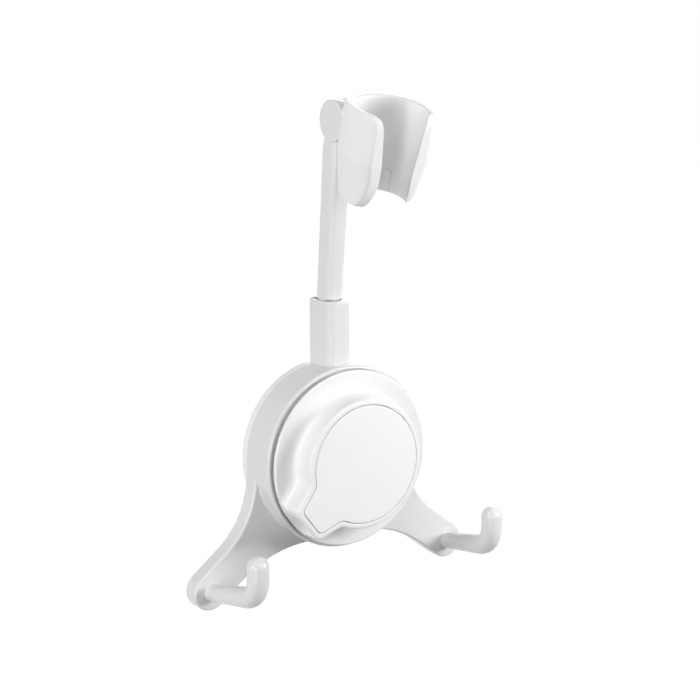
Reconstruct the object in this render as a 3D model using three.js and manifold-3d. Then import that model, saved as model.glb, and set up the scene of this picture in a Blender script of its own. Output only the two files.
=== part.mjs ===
// A wall-mounted hand-shower holder: suction drum with a twist lock, two hook legs, swivelling arm
// and a tilting C-shaped cradle. Millimetres, +Z up. The wall is the plane y = 0 and the holder
// stands in front of it, so a "front" distance is measured from the wall along -Y.
import * as THREE from 'three';
import { mergeVertices } from 'three/addons/utils/BufferGeometryUtils.js';
import Module from 'manifold-3d';

// General fits and facets
const CLEARANCE = 0.3;
const THIN_GAP = 0.15;
const LARGE_FACETS = 40;
const SMALL_FACETS = 18;
const TINY_FACETS = 12;
const OVERCUT = 2;

// Suction pad
const PAD_RADIUS = 40.6;
const PAD_SKIN = 2.2;
const PAD_BEAD_HEIGHT = 4.6;
const PAD_BEAD_WIDTH = 3.6;
const PAD_BOSS_RADIUS = 12.5;
const PAD_BOSS_HEIGHT = 7.4;

// Drum of the bracket
const RING_OVERHANG = 0.6;
const RING_DRAFT = 1.2;
const RING_DEPTH = 20;
const RING_WALL = 3;
const RING_RIM_ROUND = 1.8;
const WEB_THICKNESS = 2.5;
const WEB_RECESS = 3.4;
const WEB_HUB_WALL = 2.4;
const WEB_HUB_DEPTH = 5;
const WEB_RIB_COUNT = 6;
const WEB_RIB_THICKNESS = 1.8;
const WEB_RIB_DEPTH = 3.5;

// Legs of the bracket
const LEG_ANGLE = 38;
const LEG_LENGTH = 44.2;
const LEG_DROP = 3.2;
const LEG_HALF_WIDTH = 8.5;
const LEG_DEPTH = 8.2;
const LEG_EDGE_ROUND = 1.2;
const LEG_WALL = 2.2;
const LEG_SKIN = 2.2;
const LEG_SIDE_START = 8;
const LEG_FLARE = 20;
const LEG_RIB_THICKNESS = 1.6;
const LEG_RIB_SPACING = 11;

// Hooks
const HOOK_LEAN_IN = 1.9;
const HOOK_SLOPE = 12;
const HOOK_REACH = 37.3;
const HOOK_BEND = 10;
const HOOK_RISE = 27;
const HOOK_ROOT_RADIUS = 3.8;
const HOOK_TIP_RADIUS = 4.9;
const HOOK_PEG_HALF = 2.7;
const HOOK_PEG_LENGTH = 4.2;
const HOOK_BOSS_WALL = 2;
const HOOK_FLOOR = 1.6;
const HOOK_SCREW_RADIUS = 1.3;
const HOOK_SCREW_BITE = 3.2;
const HOOK_SCREW_HEAD_RADIUS = 2.8;
const HOOK_SCREW_HEAD_HEIGHT = 1.6;

// Socket on top of the drum
const SLEEVE_BACK = 1.4;
const SLEEVE_HALF_WIDTH = 6.4;
const SLEEVE_DEPTH = 18.6;
const SLEEVE_HEIGHT = 29.5;
const SLEEVE_CORNER = 2.3;
const SLEEVE_TOP_ROUND = 1.2;
const SLEEVE_WALL = 1.4;
const SLEEVE_FLOOR = 3.2;

// Swivel of the arm in the socket
const SPIGOT_RADIUS = 3.4;
const BUSH_WALL = 1;
const SWIVEL_RING_HEIGHT = 1.5;
const SHOULDER_DEPTH = 2.6;
const CLIP_THICKNESS = 1.6;
const CLIP_WIDTH = 2;
const CLIP_RISE = 4.5;
const CLIP_BITE = 1;

// Upright arm
const ARM_LENGTH = 81.1;
const ARM_FOOT_HALF_WIDTH = 4.6;
const ARM_FOOT_HALF_DEPTH = 5.5;
const ARM_FOOT_GAP = 0.6;
const ARM_TOP_HALF_WIDTH = 4.9;
const ARM_TOP_HALF_DEPTH = 5.9;
const ARM_CORNER = 2.2;
const ARM_TOP_SETBACK = 4;
const ARM_TOP_DROP = 11.8;
const FORK_BASE_DROP = 25.8;
const FORK_SHOULDER_DROP = 12;
const FORK_TOP_HALF_DEPTH = 5;
const FORK_TOP_SETBACK = 1;
const FORK_STEP = 0.9;

// Cradle hinge
const PIVOT_FRONT = 21.6;
const EAR_RADIUS = 9.3;
const EAR_WIDTH = 3.2;
const EAR_EDGE = 0.6;
const TONGUE_HALF = 1.9;
const TONGUE_RADIUS = 8.6;
const TONGUE_RISE = 7;
const TONGUE_DROP = 5.5;
const FRICTION_WASHER_THICKNESS = 0.4;
const FRICTION_WASHER_RADIUS = 6.8;
const PIVOT_SCREW_RADIUS = 2.2;
const PIVOT_HEAD_RADIUS = 3.9;
const PIVOT_HEAD_HEIGHT = 0.9;
const SPRING_WASHER_THICKNESS = 0.4;
const INSERT_WALL = 1;
const INSERT_LENGTH = 2;
const CAP_PROUD = 0.5;

// Cradle
const CRADLE_LEAN = 16;
const CRADLE_OFFSET = 34.5;
const CRADLE_RISE = 18.2;
const CRADLE_FALL = 23.7;
const CRADLE_TOP_RADIUS = 18.5;
const CRADLE_BOTTOM_RADIUS = 15.2;
const CRADLE_BACK_STRETCH = 2.8;
const CRADLE_WALL = 2.8;
const CRADLE_MOUTH = 11.4;
const CRADLE_CREASE_DROP = 2.8;
const CRADLE_RIM_ROUND = 1.2;
const LIP_TOP_ROUND = 6;
const LIP_BOTTOM_RISE = 15;
const LIP_BOTTOM_RUN = 9.5;
const SEAT_RIB_ANGLE = 48;
const SEAT_RIB_WIDTH = 4;
const SEAT_RIB_HEIGHT = 9.2;
const SEAT_RIB_PROUD = 0.8;
const NECK_HALF_WIDTH = 6.5;
const NECK_BACK = 7.1;
const NECK_EDGE = 1.4;

// Twist lock
const TWIST_ANGLE = 90;
const STUD_STROKE = 3.5;
const STUD_HALF = 5;
const STUD_FOOT_RADIUS = 9;
const STUD_FOOT_HEIGHT = 2;
const STUD_NOSE = 4;
const PIN_RADIUS = 2;
const PIN_HALF_LENGTH = 12.4;
const THRUST_WASHER_THICKNESS = 0.9;
const CAM_BASE = 2.4;
const CAM_RADIUS = 13.9;
const CAM_RUN_OUT = 18;
const CAM_LUG_WIDTH = 4;
const CAM_LUG_REACH = 1.1;
const CAM_RAMP_RISE = 0.4;

// Knob
const KNOB_GAP = 0.8;
const KNOB_STEP = 1.4;
const KNOB_FLANGE = 2.5;
const KNOB_DEPTH = 14.8;
const KNOB_PLATE = 1.7;
const KNOB_WALL = 2.2;
const KNOB_RIM = 3;
const KNOB_COVE = 3.4;
const KNOB_FRONT_ROUND = 1.6;
const KNOB_HUB_WALL = 2;
const KNOB_SKIRT_WALL = 2.4;
const KNOB_RIB_COUNT = 6;
const KNOB_RIB_THICKNESS = 1.6;

// Round cover with its pointer
const COVER_MARGIN = 14;
const COVER_THICKNESS = 1.9;
const COVER_RECESS = 1.4;
const COVER_EDGE = 0.5;
const POINTER_ANGLE = 217;
const POINTER_MARGIN = 4.1;
const POINTER_HALF_WIDTH = 7.2;
const POINTER_TAPER = 17;
const POINTER_CORNER = 2.2;

// Distances in front of the wall that follow from the sizes above
const RING_BACK = PAD_BEAD_HEIGHT + CLEARANCE;
const RING_FRONT = RING_BACK + RING_DEPTH;
const WEB_FRONT = RING_FRONT - WEB_RECESS;
const WEB_BACK = WEB_FRONT - WEB_THICKNESS;
const LEG_FRONT = RING_BACK + LEG_DEPTH;
const HOOK_PEG_BACK = LEG_FRONT - HOOK_PEG_LENGTH;
const HOOK_BOSS_BACK = HOOK_PEG_BACK - CLEARANCE - HOOK_FLOOR;
const SWIVEL_FRONT = SLEEVE_BACK + SLEEVE_DEPTH / 2;
const THRUST_BACK = WEB_FRONT + CLEARANCE;
const CAM_BACK = THRUST_BACK + THRUST_WASHER_THICKNESS + CLEARANCE;
const CAM_LEAD = STUD_STROKE / THREE.MathUtils.degToRad(TWIST_ANGLE);
const KNOB_BACK = RING_FRONT + KNOB_GAP;
const KNOB_FRONT = KNOB_BACK + KNOB_DEPTH;
const KNOB_FLOOR = KNOB_FRONT - COVER_RECESS;
const KNOB_INSIDE = KNOB_FLOOR - KNOB_PLATE;

// Radii and reaches that follow from the sizes above
const RING_RADIUS_BACK = PAD_RADIUS + RING_OVERHANG;
const RING_RADIUS_FRONT = RING_RADIUS_BACK + RING_DRAFT;
const CAVITY_RADIUS = RING_RADIUS_BACK - RING_WALL;
const KNOB_RADIUS = RING_RADIUS_FRONT - KNOB_STEP;
const COVER_RADIUS = KNOB_RADIUS - COVER_MARGIN;
const POINTER_REACH = KNOB_RADIUS - POINTER_MARGIN;
const HUB_INNER = CAM_RADIUS + CLEARANCE;
const HUB_OUTER = HUB_INNER + KNOB_HUB_WALL;
const SKIRT_OUTER = CAVITY_RADIUS - CLEARANCE;
const LEG_REACH = RING_RADIUS_BACK + LEG_LENGTH;
const HOOK_SOCKET_HALF = HOOK_PEG_HALF + CLEARANCE;
const HOOK_BOSS_RADIUS = Math.hypot(HOOK_SOCKET_HALF, HOOK_SOCKET_HALF) + HOOK_BOSS_WALL;
const CUP_BORE_TOP = CRADLE_TOP_RADIUS - CRADLE_WALL;
const CUP_BORE_BOTTOM = CRADLE_BOTTOM_RADIUS - CRADLE_WALL;

// Heights and half widths that follow from the sizes above
const SLEEVE_TOP = RING_RADIUS_BACK + SLEEVE_HEIGHT;
const PIVOT_HEIGHT = SLEEVE_TOP + ARM_LENGTH;
const BORE_RADIUS = SPIGOT_RADIUS + BUSH_WALL + 2 * CLEARANCE;
const BORE_FLOOR = CAVITY_RADIUS + SLEEVE_FLOOR;
const CLIP_BOTTOM = BORE_FLOOR + CLIP_RISE;
const CLIP_TOP = CLIP_BOTTOM + CLIP_THICKNESS;
const SHOULDER = SLEEVE_TOP - SHOULDER_DEPTH;
const ARM_FOOT = SLEEVE_TOP + ARM_FOOT_GAP;
const SWIVEL_RING_BOTTOM = SHOULDER - CLEARANCE - SWIVEL_RING_HEIGHT;
const SLOT_HALF = TONGUE_HALF + FRICTION_WASHER_THICKNESS + 2 * THIN_GAP;
const EAR_OUTER = SLOT_HALF + EAR_WIDTH;
const SLOT_RADIUS = EAR_RADIUS + CLEARANCE;
const PIVOT_HOLE = PIVOT_SCREW_RADIUS + CLEARANCE;
const INSERT_RADIUS = PIVOT_HOLE + INSERT_WALL;
const INSERT_END = -SLOT_HALF - THIN_GAP - INSERT_LENGTH;
const HEAD_SEAT = EAR_OUTER - CLEARANCE - PIVOT_HEAD_HEIGHT - CAP_PROUD;
const CAP_SEAT = HEAD_SEAT - SPRING_WASHER_THICKNESS - 2 * THIN_GAP;

// The cam's contact with the pin: a pin on a helical ramp stands a little higher than its radius
const CAM_BORE = Math.hypot(STUD_HALF, STUD_HALF) + CLEARANCE;
const PIN_STAND = PIN_RADIUS * Math.hypot(1, CAM_LEAD / CAM_BORE) + CLEARANCE;
const RAMP_START = CAM_BACK + CAM_BASE + CAM_RAMP_RISE + CAM_LEAD * THREE.MathUtils.degToRad(CAM_RUN_OUT);
const PIN_FRONT = RAMP_START + PIN_STAND;

const FINISH = {
  whitePlastic: { color: 0xf3f3f1, roughness: 0.28, metalness: 0 },
  greyPlastic: { color: 0xd9dad9, roughness: 0.45, metalness: 0 },
  acetal: { color: 0xe9e7df, roughness: 0.5, metalness: 0 },
  softPad: { color: 0xdfe3e4, roughness: 0.35, metalness: 0 },
  rubber: { color: 0x3a3a3b, roughness: 0.8, metalness: 0 },
  steel: { color: 0xb9bcc0, roughness: 0.3, metalness: 1 },
  brass: { color: 0xc2a15a, roughness: 0.35, metalness: 1 },
};

const wasm = await Module();
wasm.setup();

// Turns a closed geometry into a solid whose faces point out.
function solidOf(geometry) {
  const bare = geometry.clone();
  bare.deleteAttribute('normal');
  bare.deleteAttribute('uv');
  const merged = mergeVertices(bare, 1e-4);
  const points = merged.getAttribute('position');
  const index = merged.getIndex().array;
  const triangles = [];
  let volume = 0;
  const [a, b, c] = [new THREE.Vector3(), new THREE.Vector3(), new THREE.Vector3()];
  for (let i = 0; i < index.length; i += 3) {
    const [p, q, r] = [index[i], index[i + 1], index[i + 2]];
    if (p === q || q === r || r === p) continue;
    triangles.push([p, q, r]);
    a.fromBufferAttribute(points, p);
    b.fromBufferAttribute(points, q);
    c.fromBufferAttribute(points, r);
    volume += a.dot(b.cross(c));
  }
  const outward = volume > 0 ? triangles : triangles.map(([p, q, r]) => [p, r, q]);
  const vertProperties = new Float32Array(points.array);
  const triVerts = new Uint32Array(outward.flat());
  return new wasm.Manifold(new wasm.Mesh({ numProp: 3, vertProperties, triVerts }));
}

function unite(first, ...others) {
  return others.reduce((whole, piece) => whole.add(piece), first);
}

function cut(first, ...others) {
  return others.reduce((whole, piece) => whole.subtract(piece), first);
}

function part(name, solid, finish) {
  const { vertProperties, triVerts } = solid.getMesh();
  const geometry = new THREE.BufferGeometry();
  geometry.setAttribute('position', new THREE.BufferAttribute(new Float32Array(vertProperties), 3));
  geometry.setIndex(new THREE.BufferAttribute(new Uint32Array(triVerts), 1));
  geometry.computeVertexNormals();
  const mesh = new THREE.Mesh(geometry, new THREE.MeshStandardMaterial(finish));
  mesh.name = name;
  return mesh;
}

// Extrudes an outline drawn as seen from the front (x right, z up) between two front distances.
function extrudeFront(shape, back, front, bevel = 0, curveSegments = 8) {
  const settings = bevelSettings(front - back, bevel, curveSegments);
  const geometry = new THREE.ExtrudeGeometry(shape, settings);
  geometry.translate(0, 0, back + bevel);
  return solidOf(geometry.rotateX(Math.PI / 2));
}

// Extrudes an outline drawn in a side view (front distance, height) across the width.
function extrudeAcross(shape, left, right, bevel = 0, curveSegments = 8) {
  const settings = bevelSettings(right - left, bevel, curveSegments);
  const geometry = new THREE.ExtrudeGeometry(shape, settings);
  geometry.translate(0, 0, bevel - right);
  const front = new THREE.Vector3(0, -1, 0);
  const up = new THREE.Vector3(0, 0, 1);
  const across = new THREE.Vector3(-1, 0, 0);
  return solidOf(geometry.applyMatrix4(new THREE.Matrix4().makeBasis(front, up, across)));
}

function bevelSettings(length, bevel, curveSegments) {
  return {
    depth: length - 2 * bevel,
    curveSegments,
    bevelEnabled: bevel > 0,
    bevelThickness: bevel,
    bevelSize: bevel,
    bevelOffset: -bevel,
    bevelSegments: 2,
  };
}

// Revolves a (radius, front distance) profile about the drum's axis.
function revolveFront(profile, facets = LARGE_FACETS) {
  const points = profile.map(([radius, front]) => new THREE.Vector2(radius, -front));
  return solidOf(new THREE.LatheGeometry(points, facets));
}

// Revolves a (radius, height) profile about the vertical axis.
function revolveUpright(profile, facets = LARGE_FACETS) {
  const points = profile.map(([radius, height]) => new THREE.Vector2(radius, height));
  return solidOf(new THREE.LatheGeometry(points, facets).rotateX(Math.PI / 2));
}

// Revolves a (radius, x) profile about an axis that runs across the width.
function revolveAcross(profile, facets = SMALL_FACETS) {
  const points = profile.map(([radius, across]) => new THREE.Vector2(radius, across));
  return solidOf(new THREE.LatheGeometry(points, facets).rotateZ(-Math.PI / 2));
}

function disc(radius, low, high) {
  return [[0, low], [radius, low], [radius, high], [0, high]];
}

function tube(inner, outer, low, high) {
  return [[inner, low], [outer, low], [outer, high], [inner, high], [inner, low]];
}

function box(left, right, back, front, bottom, top) {
  const geometry = new THREE.BoxGeometry(right - left, front - back, top - bottom);
  geometry.translate((left + right) / 2, -(back + front) / 2, (bottom + top) / 2);
  return solidOf(geometry);
}

// Joins rings of equal point counts into one closed skin with flat ends.
function loft(rings) {
  const count = rings[0].length;
  const points = rings.flat();
  const index = [];
  for (let ring = 0; ring < rings.length - 1; ring += 1) {
    for (let step = 0; step < count; step += 1) {
      const near = ring * count + step;
      const next = ring * count + ((step + 1) % count);
      index.push(near, next, next + count, near, next + count, near + count);
    }
  }
  const lastRing = (rings.length - 1) * count;
  for (let step = 1; step < count - 1; step += 1) {
    index.push(0, step + 1, step);
    index.push(lastRing, lastRing + step, lastRing + step + 1);
  }
  const geometry = new THREE.BufferGeometry().setFromPoints(points);
  geometry.setIndex(index);
  return solidOf(geometry);
}

// A rounded rectangle in plan, centred in the width at one front distance, at one height.
function plate(halfWidth, halfDepth, corner, front, height) {
  const reach = Math.min(corner, halfWidth, halfDepth);
  const ring = [];
  for (let quarter = 0; quarter < 4; quarter += 1) {
    for (let step = 0; step <= 3; step += 1) {
      const angle = (quarter + step / 3) * (Math.PI / 2);
      const right = [1, -1, -1, 1][quarter] * (halfWidth - reach);
      const ahead = [1, 1, -1, -1][quarter] * (halfDepth - reach);
      const x = right + reach * Math.cos(angle);
      const y = ahead + reach * Math.sin(angle);
      ring.push(new THREE.Vector3(x, -(front + y), height));
    }
  }
  return ring;
}

function radial(distance, degrees) {
  const angle = THREE.MathUtils.degToRad(degrees);
  return new THREE.Vector2(distance * Math.cos(angle), distance * Math.sin(angle));
}

// Both legs in one outline, drawn in or out by an inset, with the arch between them.
function legOutline(inset) {
  const along = radial(1, -LEG_ANGLE);
  const outward = new THREE.Vector2(-along.y, along.x);
  const half = LEG_HALF_WIDTH - inset;
  const at = (distance, side) => along.clone().multiplyScalar(distance)
    .addScaledVector(outward, side - LEG_DROP);
  const flank = RING_RADIUS_BACK - inset;
  const arch = -flank;
  const upperCorner = new THREE.Vector2(flank, 0);
  const upperEdge = at(0, half);
  upperCorner.y = upperEdge.y + ((flank - upperEdge.x) * along.y) / along.x;
  const lowerEdge = at(0, -half);
  const lowerCorner = new THREE.Vector2(0, arch);
  lowerCorner.x = lowerEdge.x + ((arch - lowerEdge.y) * along.x) / along.y;
  const upperRun = upperCorner.clone().addScaledVector(along, LEG_FLARE);
  const lowerRun = lowerCorner.clone().addScaledVector(along, LEG_FLARE);
  const tip = at(LEG_REACH, 0);
  const shape = new THREE.Shape();
  shape.moveTo(0, -LEG_SIDE_START);
  shape.lineTo(flank, -LEG_SIDE_START);
  shape.quadraticCurveTo(upperCorner.x, upperCorner.y, upperRun.x, upperRun.y);
  const start = THREE.MathUtils.degToRad(90 - LEG_ANGLE);
  shape.absarc(tip.x, tip.y, half, start, start - Math.PI, true);
  shape.lineTo(lowerRun.x, lowerRun.y);
  shape.quadraticCurveTo(lowerCorner.x, lowerCorner.y, lowerCorner.x - LEG_FLARE, arch);
  shape.lineTo(0, arch);
  const right = shape.extractPoints(8).shape;
  const left = right.slice(1, -1).reverse().map((point) => new THREE.Vector2(-point.x, point.y));
  return new THREE.Shape([...right, ...left]);
}

function legTip(side) {
  const tip = radial(LEG_REACH, -LEG_ANGLE);
  const drop = radial(LEG_DROP, -LEG_ANGLE - 90);
  return new THREE.Vector2(side * (tip.x + drop.x), tip.y + drop.y);
}

// A piece drawn round the drum's axis, moved to the tip of one leg.
function atLegTip(side, solid) {
  const tip = legTip(side);
  return solid.translate(tip.x, 0, tip.y);
}

const SIDES = [
  { name: 'left', sign: -1 },
  { name: 'right', sign: 1 },
];

function drum() {
  const rim = [];
  for (const turn of [0, 30, 60, 90]) {
    const edge = radial(RING_RIM_ROUND, turn);
    rim.push([RING_RADIUS_FRONT - RING_RIM_ROUND + edge.x, RING_FRONT - RING_RIM_ROUND + edge.y]);
  }
  return revolveFront([
    [0, WEB_BACK],
    [CAVITY_RADIUS, WEB_BACK],
    [CAVITY_RADIUS, RING_BACK],
    [RING_RADIUS_BACK, RING_BACK],
    ...rim,
    [CAVITY_RADIUS, RING_FRONT],
    [CAVITY_RADIUS, WEB_FRONT],
    [0, WEB_FRONT],
  ]);
}

function legs() {
  const behind = RING_BACK - OVERCUT;
  const body = extrudeFront(legOutline(0), behind - LEG_EDGE_ROUND, LEG_FRONT, LEG_EDGE_ROUND);
  const span = LEG_REACH + LEG_HALF_WIDTH;
  const waste = box(-span, span, behind - 2 * LEG_EDGE_ROUND, RING_BACK, -span, span);
  let pocket = extrudeFront(legOutline(LEG_WALL), behind, LEG_FRONT - LEG_SKIN);
  pocket = pocket.subtract(revolveFront(disc(RING_RADIUS_FRONT, behind - 1, LEG_FRONT)));
  for (const { sign } of SIDES) {
    const boss = revolveFront(disc(HOOK_BOSS_RADIUS, HOOK_BOSS_BACK, LEG_FRONT), SMALL_FACETS);
    pocket = pocket.subtract(atLegTip(sign, boss));
    pocket = cut(pocket, ...legRibs(sign));
  }
  return cut(body, waste, pocket);
}

// Cross ribs that stiffen the hollow back of a leg between the drum and the hook's boss.
function legRibs(sign) {
  const half = LEG_RIB_THICKNESS / 2;
  const reach = 2 * LEG_HALF_WIDTH + LEG_FLARE;
  const ribs = [];
  const last = LEG_REACH - HOOK_BOSS_RADIUS - LEG_RIB_SPACING / 2;
  for (let distance = RING_RADIUS_FRONT + LEG_RIB_SPACING; distance < last; distance += LEG_RIB_SPACING) {
    const rib = box(distance - half, distance + half, RING_BACK + LEG_WALL, LEG_FRONT, -reach, reach);
    ribs.push(rib.rotate([0, sign > 0 ? LEG_ANGLE : 180 - LEG_ANGLE, 0]));
  }
  return ribs;
}

function sleeve() {
  const section = (inset, height) => plate(
    SLEEVE_HALF_WIDTH - inset, SLEEVE_DEPTH / 2 - inset, SLEEVE_CORNER - inset / 2, SWIVEL_FRONT, height,
  );
  const rings = [section(0, CAVITY_RADIUS - OVERCUT)];
  for (const turn of [0, 30, 60, 90]) {
    const edge = radial(SLEEVE_TOP_ROUND, turn);
    rings.push(section(SLEEVE_TOP_ROUND - edge.x, SLEEVE_TOP - SLEEVE_TOP_ROUND + edge.y));
  }
  return loft(rings);
}

function atSwivel(solid) {
  return solid.translate(0, -SWIVEL_FRONT, 0);
}

function bracketBody() {
  const hubRadius = Math.hypot(STUD_HALF, STUD_HALF) + CLEARANCE + WEB_HUB_WALL;
  const hub = revolveFront(disc(hubRadius, WEB_BACK - WEB_HUB_DEPTH, WEB_FRONT), SMALL_FACETS);
  const hollow = revolveFront(disc(CAVITY_RADIUS, 0, WEB_BACK));
  const knobWell = revolveFront(disc(CAVITY_RADIUS, WEB_FRONT, KNOB_FRONT));
  const padRoom = revolveFront(disc(RING_RADIUS_BACK, 0, RING_BACK));
  let body = unite(drum(), legs(), sleeve());
  body = cut(body, hollow, knobWell, padRoom);
  body = unite(body, hub, ...webRibs(hubRadius));
  const keyHalf = STUD_HALF + CLEARANCE;
  const keyway = box(-keyHalf, keyHalf, 0, KNOB_FRONT, -keyHalf, keyHalf);
  const bore = atSwivel(revolveUpright(disc(BORE_RADIUS, BORE_FLOOR, SLEEVE_TOP + OVERCUT), SMALL_FACETS));
  body = cut(body, keyway, bore, mouth(), clipSlot());
  for (const { sign } of SIDES) {
    body = cut(body, hookSocket(sign));
  }
  return part('bracket_body', body, FINISH.whitePlastic);
}

// Radial ribs behind the drum's web, from the stud's hub to the drum's wall.
function webRibs(hubRadius) {
  const half = WEB_RIB_THICKNESS / 2;
  const ribs = [];
  for (let count = 0; count < WEB_RIB_COUNT; count += 1) {
    const rib = box(hubRadius - 1, CAVITY_RADIUS + 1, WEB_BACK - WEB_RIB_DEPTH, WEB_FRONT, -half, half);
    ribs.push(rib.rotate([0, (count + 0.5) * (360 / WEB_RIB_COUNT), 0]));
  }
  return ribs;
}

function hookSocket(sign) {
  const key = box(
    -HOOK_SOCKET_HALF, HOOK_SOCKET_HALF, HOOK_PEG_BACK - CLEARANCE, LEG_FRONT + OVERCUT,
    -HOOK_SOCKET_HALF, HOOK_SOCKET_HALF,
  );
  const hole = revolveFront(disc(HOOK_SCREW_RADIUS + CLEARANCE, 0, LEG_FRONT), TINY_FACETS);
  return atLegTip(sign, unite(key, hole));
}

// Rectangular recess in the socket's top, in which the arm's round collar turns.
function mouth() {
  const half = SLEEVE_HALF_WIDTH - SLEEVE_WALL;
  return box(
    -half, half, SLEEVE_BACK + SLEEVE_WALL, SLEEVE_BACK + SLEEVE_DEPTH - SLEEVE_WALL,
    SHOULDER - CLEARANCE, SLEEVE_TOP + OVERCUT,
  );
}

function clipSlot() {
  const half = SPIGOT_RADIUS - CLIP_BITE + CLEARANCE + CLIP_WIDTH + CLEARANCE;
  return box(
    -half, half, SLEEVE_BACK - OVERCUT, SWIVEL_FRONT + SPIGOT_RADIUS,
    CLIP_BOTTOM - CLEARANCE, CLIP_TOP + CLEARANCE,
  );
}

// A hook rod: a stem that rises gently from the leg, a bend, and an upright post with a round tip.
function hook({ name, sign }) {
  const slope = Math.tan(THREE.MathUtils.degToRad(HOOK_SLOPE));
  const root = LEG_FRONT + CLEARANCE;
  const post = root + HOOK_REACH;
  const rise = (front) => (front - root) * slope;
  const path = new THREE.CurvePath();
  const at = (front, height) => new THREE.Vector3(0, -front, height);
  const corner = at(post, rise(post));
  const bendStart = at(post - HOOK_BEND, rise(post - HOOK_BEND));
  const bendEnd = at(post, rise(post) + HOOK_BEND);
  const top = HOOK_RISE - HOOK_TIP_RADIUS;
  path.add(new THREE.LineCurve3(at(root, 0), bendStart));
  path.add(new THREE.QuadraticBezierCurve3(bendStart, corner, bendEnd));
  path.add(new THREE.LineCurve3(bendEnd, at(post, top)));
  const rings = [];
  const stations = 14;
  for (let step = 0; step <= stations; step += 1) {
    const share = step / stations;
    const radius = THREE.MathUtils.lerp(HOOK_ROOT_RADIUS, HOOK_TIP_RADIUS, Math.min(1, share * 1.4));
    const heading = step === 0 ? new THREE.Vector3(0, -1, 0) : path.getTangentAt(share);
    rings.push(hookRing(path.getPointAt(share), heading, radius));
  }
  for (const turn of [30, 60, 80]) {
    const edge = radial(HOOK_TIP_RADIUS, turn);
    rings.push(hookRing(at(post, top + edge.y), new THREE.Vector3(0, 0, 1), edge.x));
  }
  const leaning = rings.map((ring) => ring.map((point) => {
    const lean = ((-point.y - root) / HOOK_REACH) * HOOK_LEAN_IN;
    return new THREE.Vector3(point.x - sign * lean, point.y, point.z);
  }));
  const peg = box(-HOOK_PEG_HALF, HOOK_PEG_HALF, HOOK_PEG_BACK, root + 1, -HOOK_PEG_HALF, HOOK_PEG_HALF);
  const pilotEnd = HOOK_PEG_BACK + HOOK_SCREW_BITE + CLEARANCE;
  const pilot = revolveFront(disc(HOOK_SCREW_RADIUS + CLEARANCE, 0, pilotEnd), TINY_FACETS);
  const solid = cut(unite(loft(leaning), peg), pilot);
  return part(`${name}_hook`, atLegTip(sign, solid), FINISH.whitePlastic);
}

function hookRing(centre, tangent, radius) {
  const across = new THREE.Vector3(1, 0, 0);
  const upward = new THREE.Vector3().crossVectors(tangent, across).normalize();
  const ring = [];
  for (let step = 0; step < TINY_FACETS; step += 1) {
    const angle = (step / TINY_FACETS) * 2 * Math.PI;
    const point = centre.clone().addScaledVector(across, radius * Math.cos(angle));
    ring.push(point.addScaledVector(upward, radius * Math.sin(angle)));
  }
  return ring;
}

function hookScrew({ name, sign }) {
  const seat = HOOK_BOSS_BACK - CLEARANCE;
  const end = HOOK_PEG_BACK + HOOK_SCREW_BITE;
  const solid = revolveFront([
    [0, seat - HOOK_SCREW_HEAD_HEIGHT],
    [HOOK_SCREW_HEAD_RADIUS * 0.8, seat - HOOK_SCREW_HEAD_HEIGHT],
    [HOOK_SCREW_HEAD_RADIUS, seat - HOOK_SCREW_HEAD_HEIGHT / 2],
    [HOOK_SCREW_HEAD_RADIUS, seat],
    [HOOK_SCREW_RADIUS, seat],
    [HOOK_SCREW_RADIUS, end - HOOK_SCREW_RADIUS],
    [0, end],
  ], TINY_FACETS);
  return part(`${name}_hook_screw`, atLegTip(sign, solid), FINISH.steel);
}

// Soft disc with a sealing bead under the drum's edge and a boss moulded round the stud's foot.
function suctionPad() {
  const footTop = PAD_SKIN + CLEARANCE + STUD_FOOT_HEIGHT + CLEARANCE;
  const shank = Math.hypot(STUD_HALF, STUD_HALF) + CLEARANCE;
  const solid = revolveFront([
    [0, 0],
    [PAD_RADIUS - 1, 0],
    [PAD_RADIUS, 1],
    [PAD_RADIUS, PAD_BEAD_HEIGHT - 1],
    [PAD_RADIUS - 1, PAD_BEAD_HEIGHT],
    [PAD_RADIUS - PAD_BEAD_WIDTH, PAD_BEAD_HEIGHT],
    [PAD_RADIUS - PAD_BEAD_WIDTH - 1, PAD_SKIN],
    [PAD_BOSS_RADIUS + 4, PAD_SKIN],
    [PAD_BOSS_RADIUS, PAD_SKIN + 3],
    [PAD_BOSS_RADIUS, PAD_BOSS_HEIGHT],
    [shank, PAD_BOSS_HEIGHT],
    [shank, footTop],
    [STUD_FOOT_RADIUS + CLEARANCE, footTop],
    [STUD_FOOT_RADIUS + CLEARANCE, PAD_SKIN],
    [0, PAD_SKIN],
  ]);
  return part('suction_pad', solid, FINISH.softPad);
}

// Square shank on a round foot; the cross pin runs through its front end.
function padStud() {
  const footBack = PAD_SKIN + CLEARANCE;
  const foot = revolveFront(disc(STUD_FOOT_RADIUS, footBack, footBack + STUD_FOOT_HEIGHT), SMALL_FACETS);
  const shank = box(-STUD_HALF, STUD_HALF, footBack, PIN_FRONT + STUD_NOSE, -STUD_HALF, STUD_HALF);
  const hole = revolveAcross(disc(PIN_RADIUS + CLEARANCE, -STUD_HALF - 1, STUD_HALF + 1), TINY_FACETS);
  const solid = cut(unite(foot, shank), hole.translate(0, -PIN_FRONT, 0));
  return part('pad_stud', solid, FINISH.acetal);
}

function crossPin() {
  const edge = 0.5;
  const solid = revolveAcross([
    [0, -PIN_HALF_LENGTH],
    [PIN_RADIUS - edge, -PIN_HALF_LENGTH],
    [PIN_RADIUS, edge - PIN_HALF_LENGTH],
    [PIN_RADIUS, PIN_HALF_LENGTH - edge],
    [PIN_RADIUS - edge, PIN_HALF_LENGTH],
    [0, PIN_HALF_LENGTH],
  ], TINY_FACETS);
  return part('cross_pin', solid.translate(0, -PIN_FRONT, 0), FINISH.steel);
}

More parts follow.
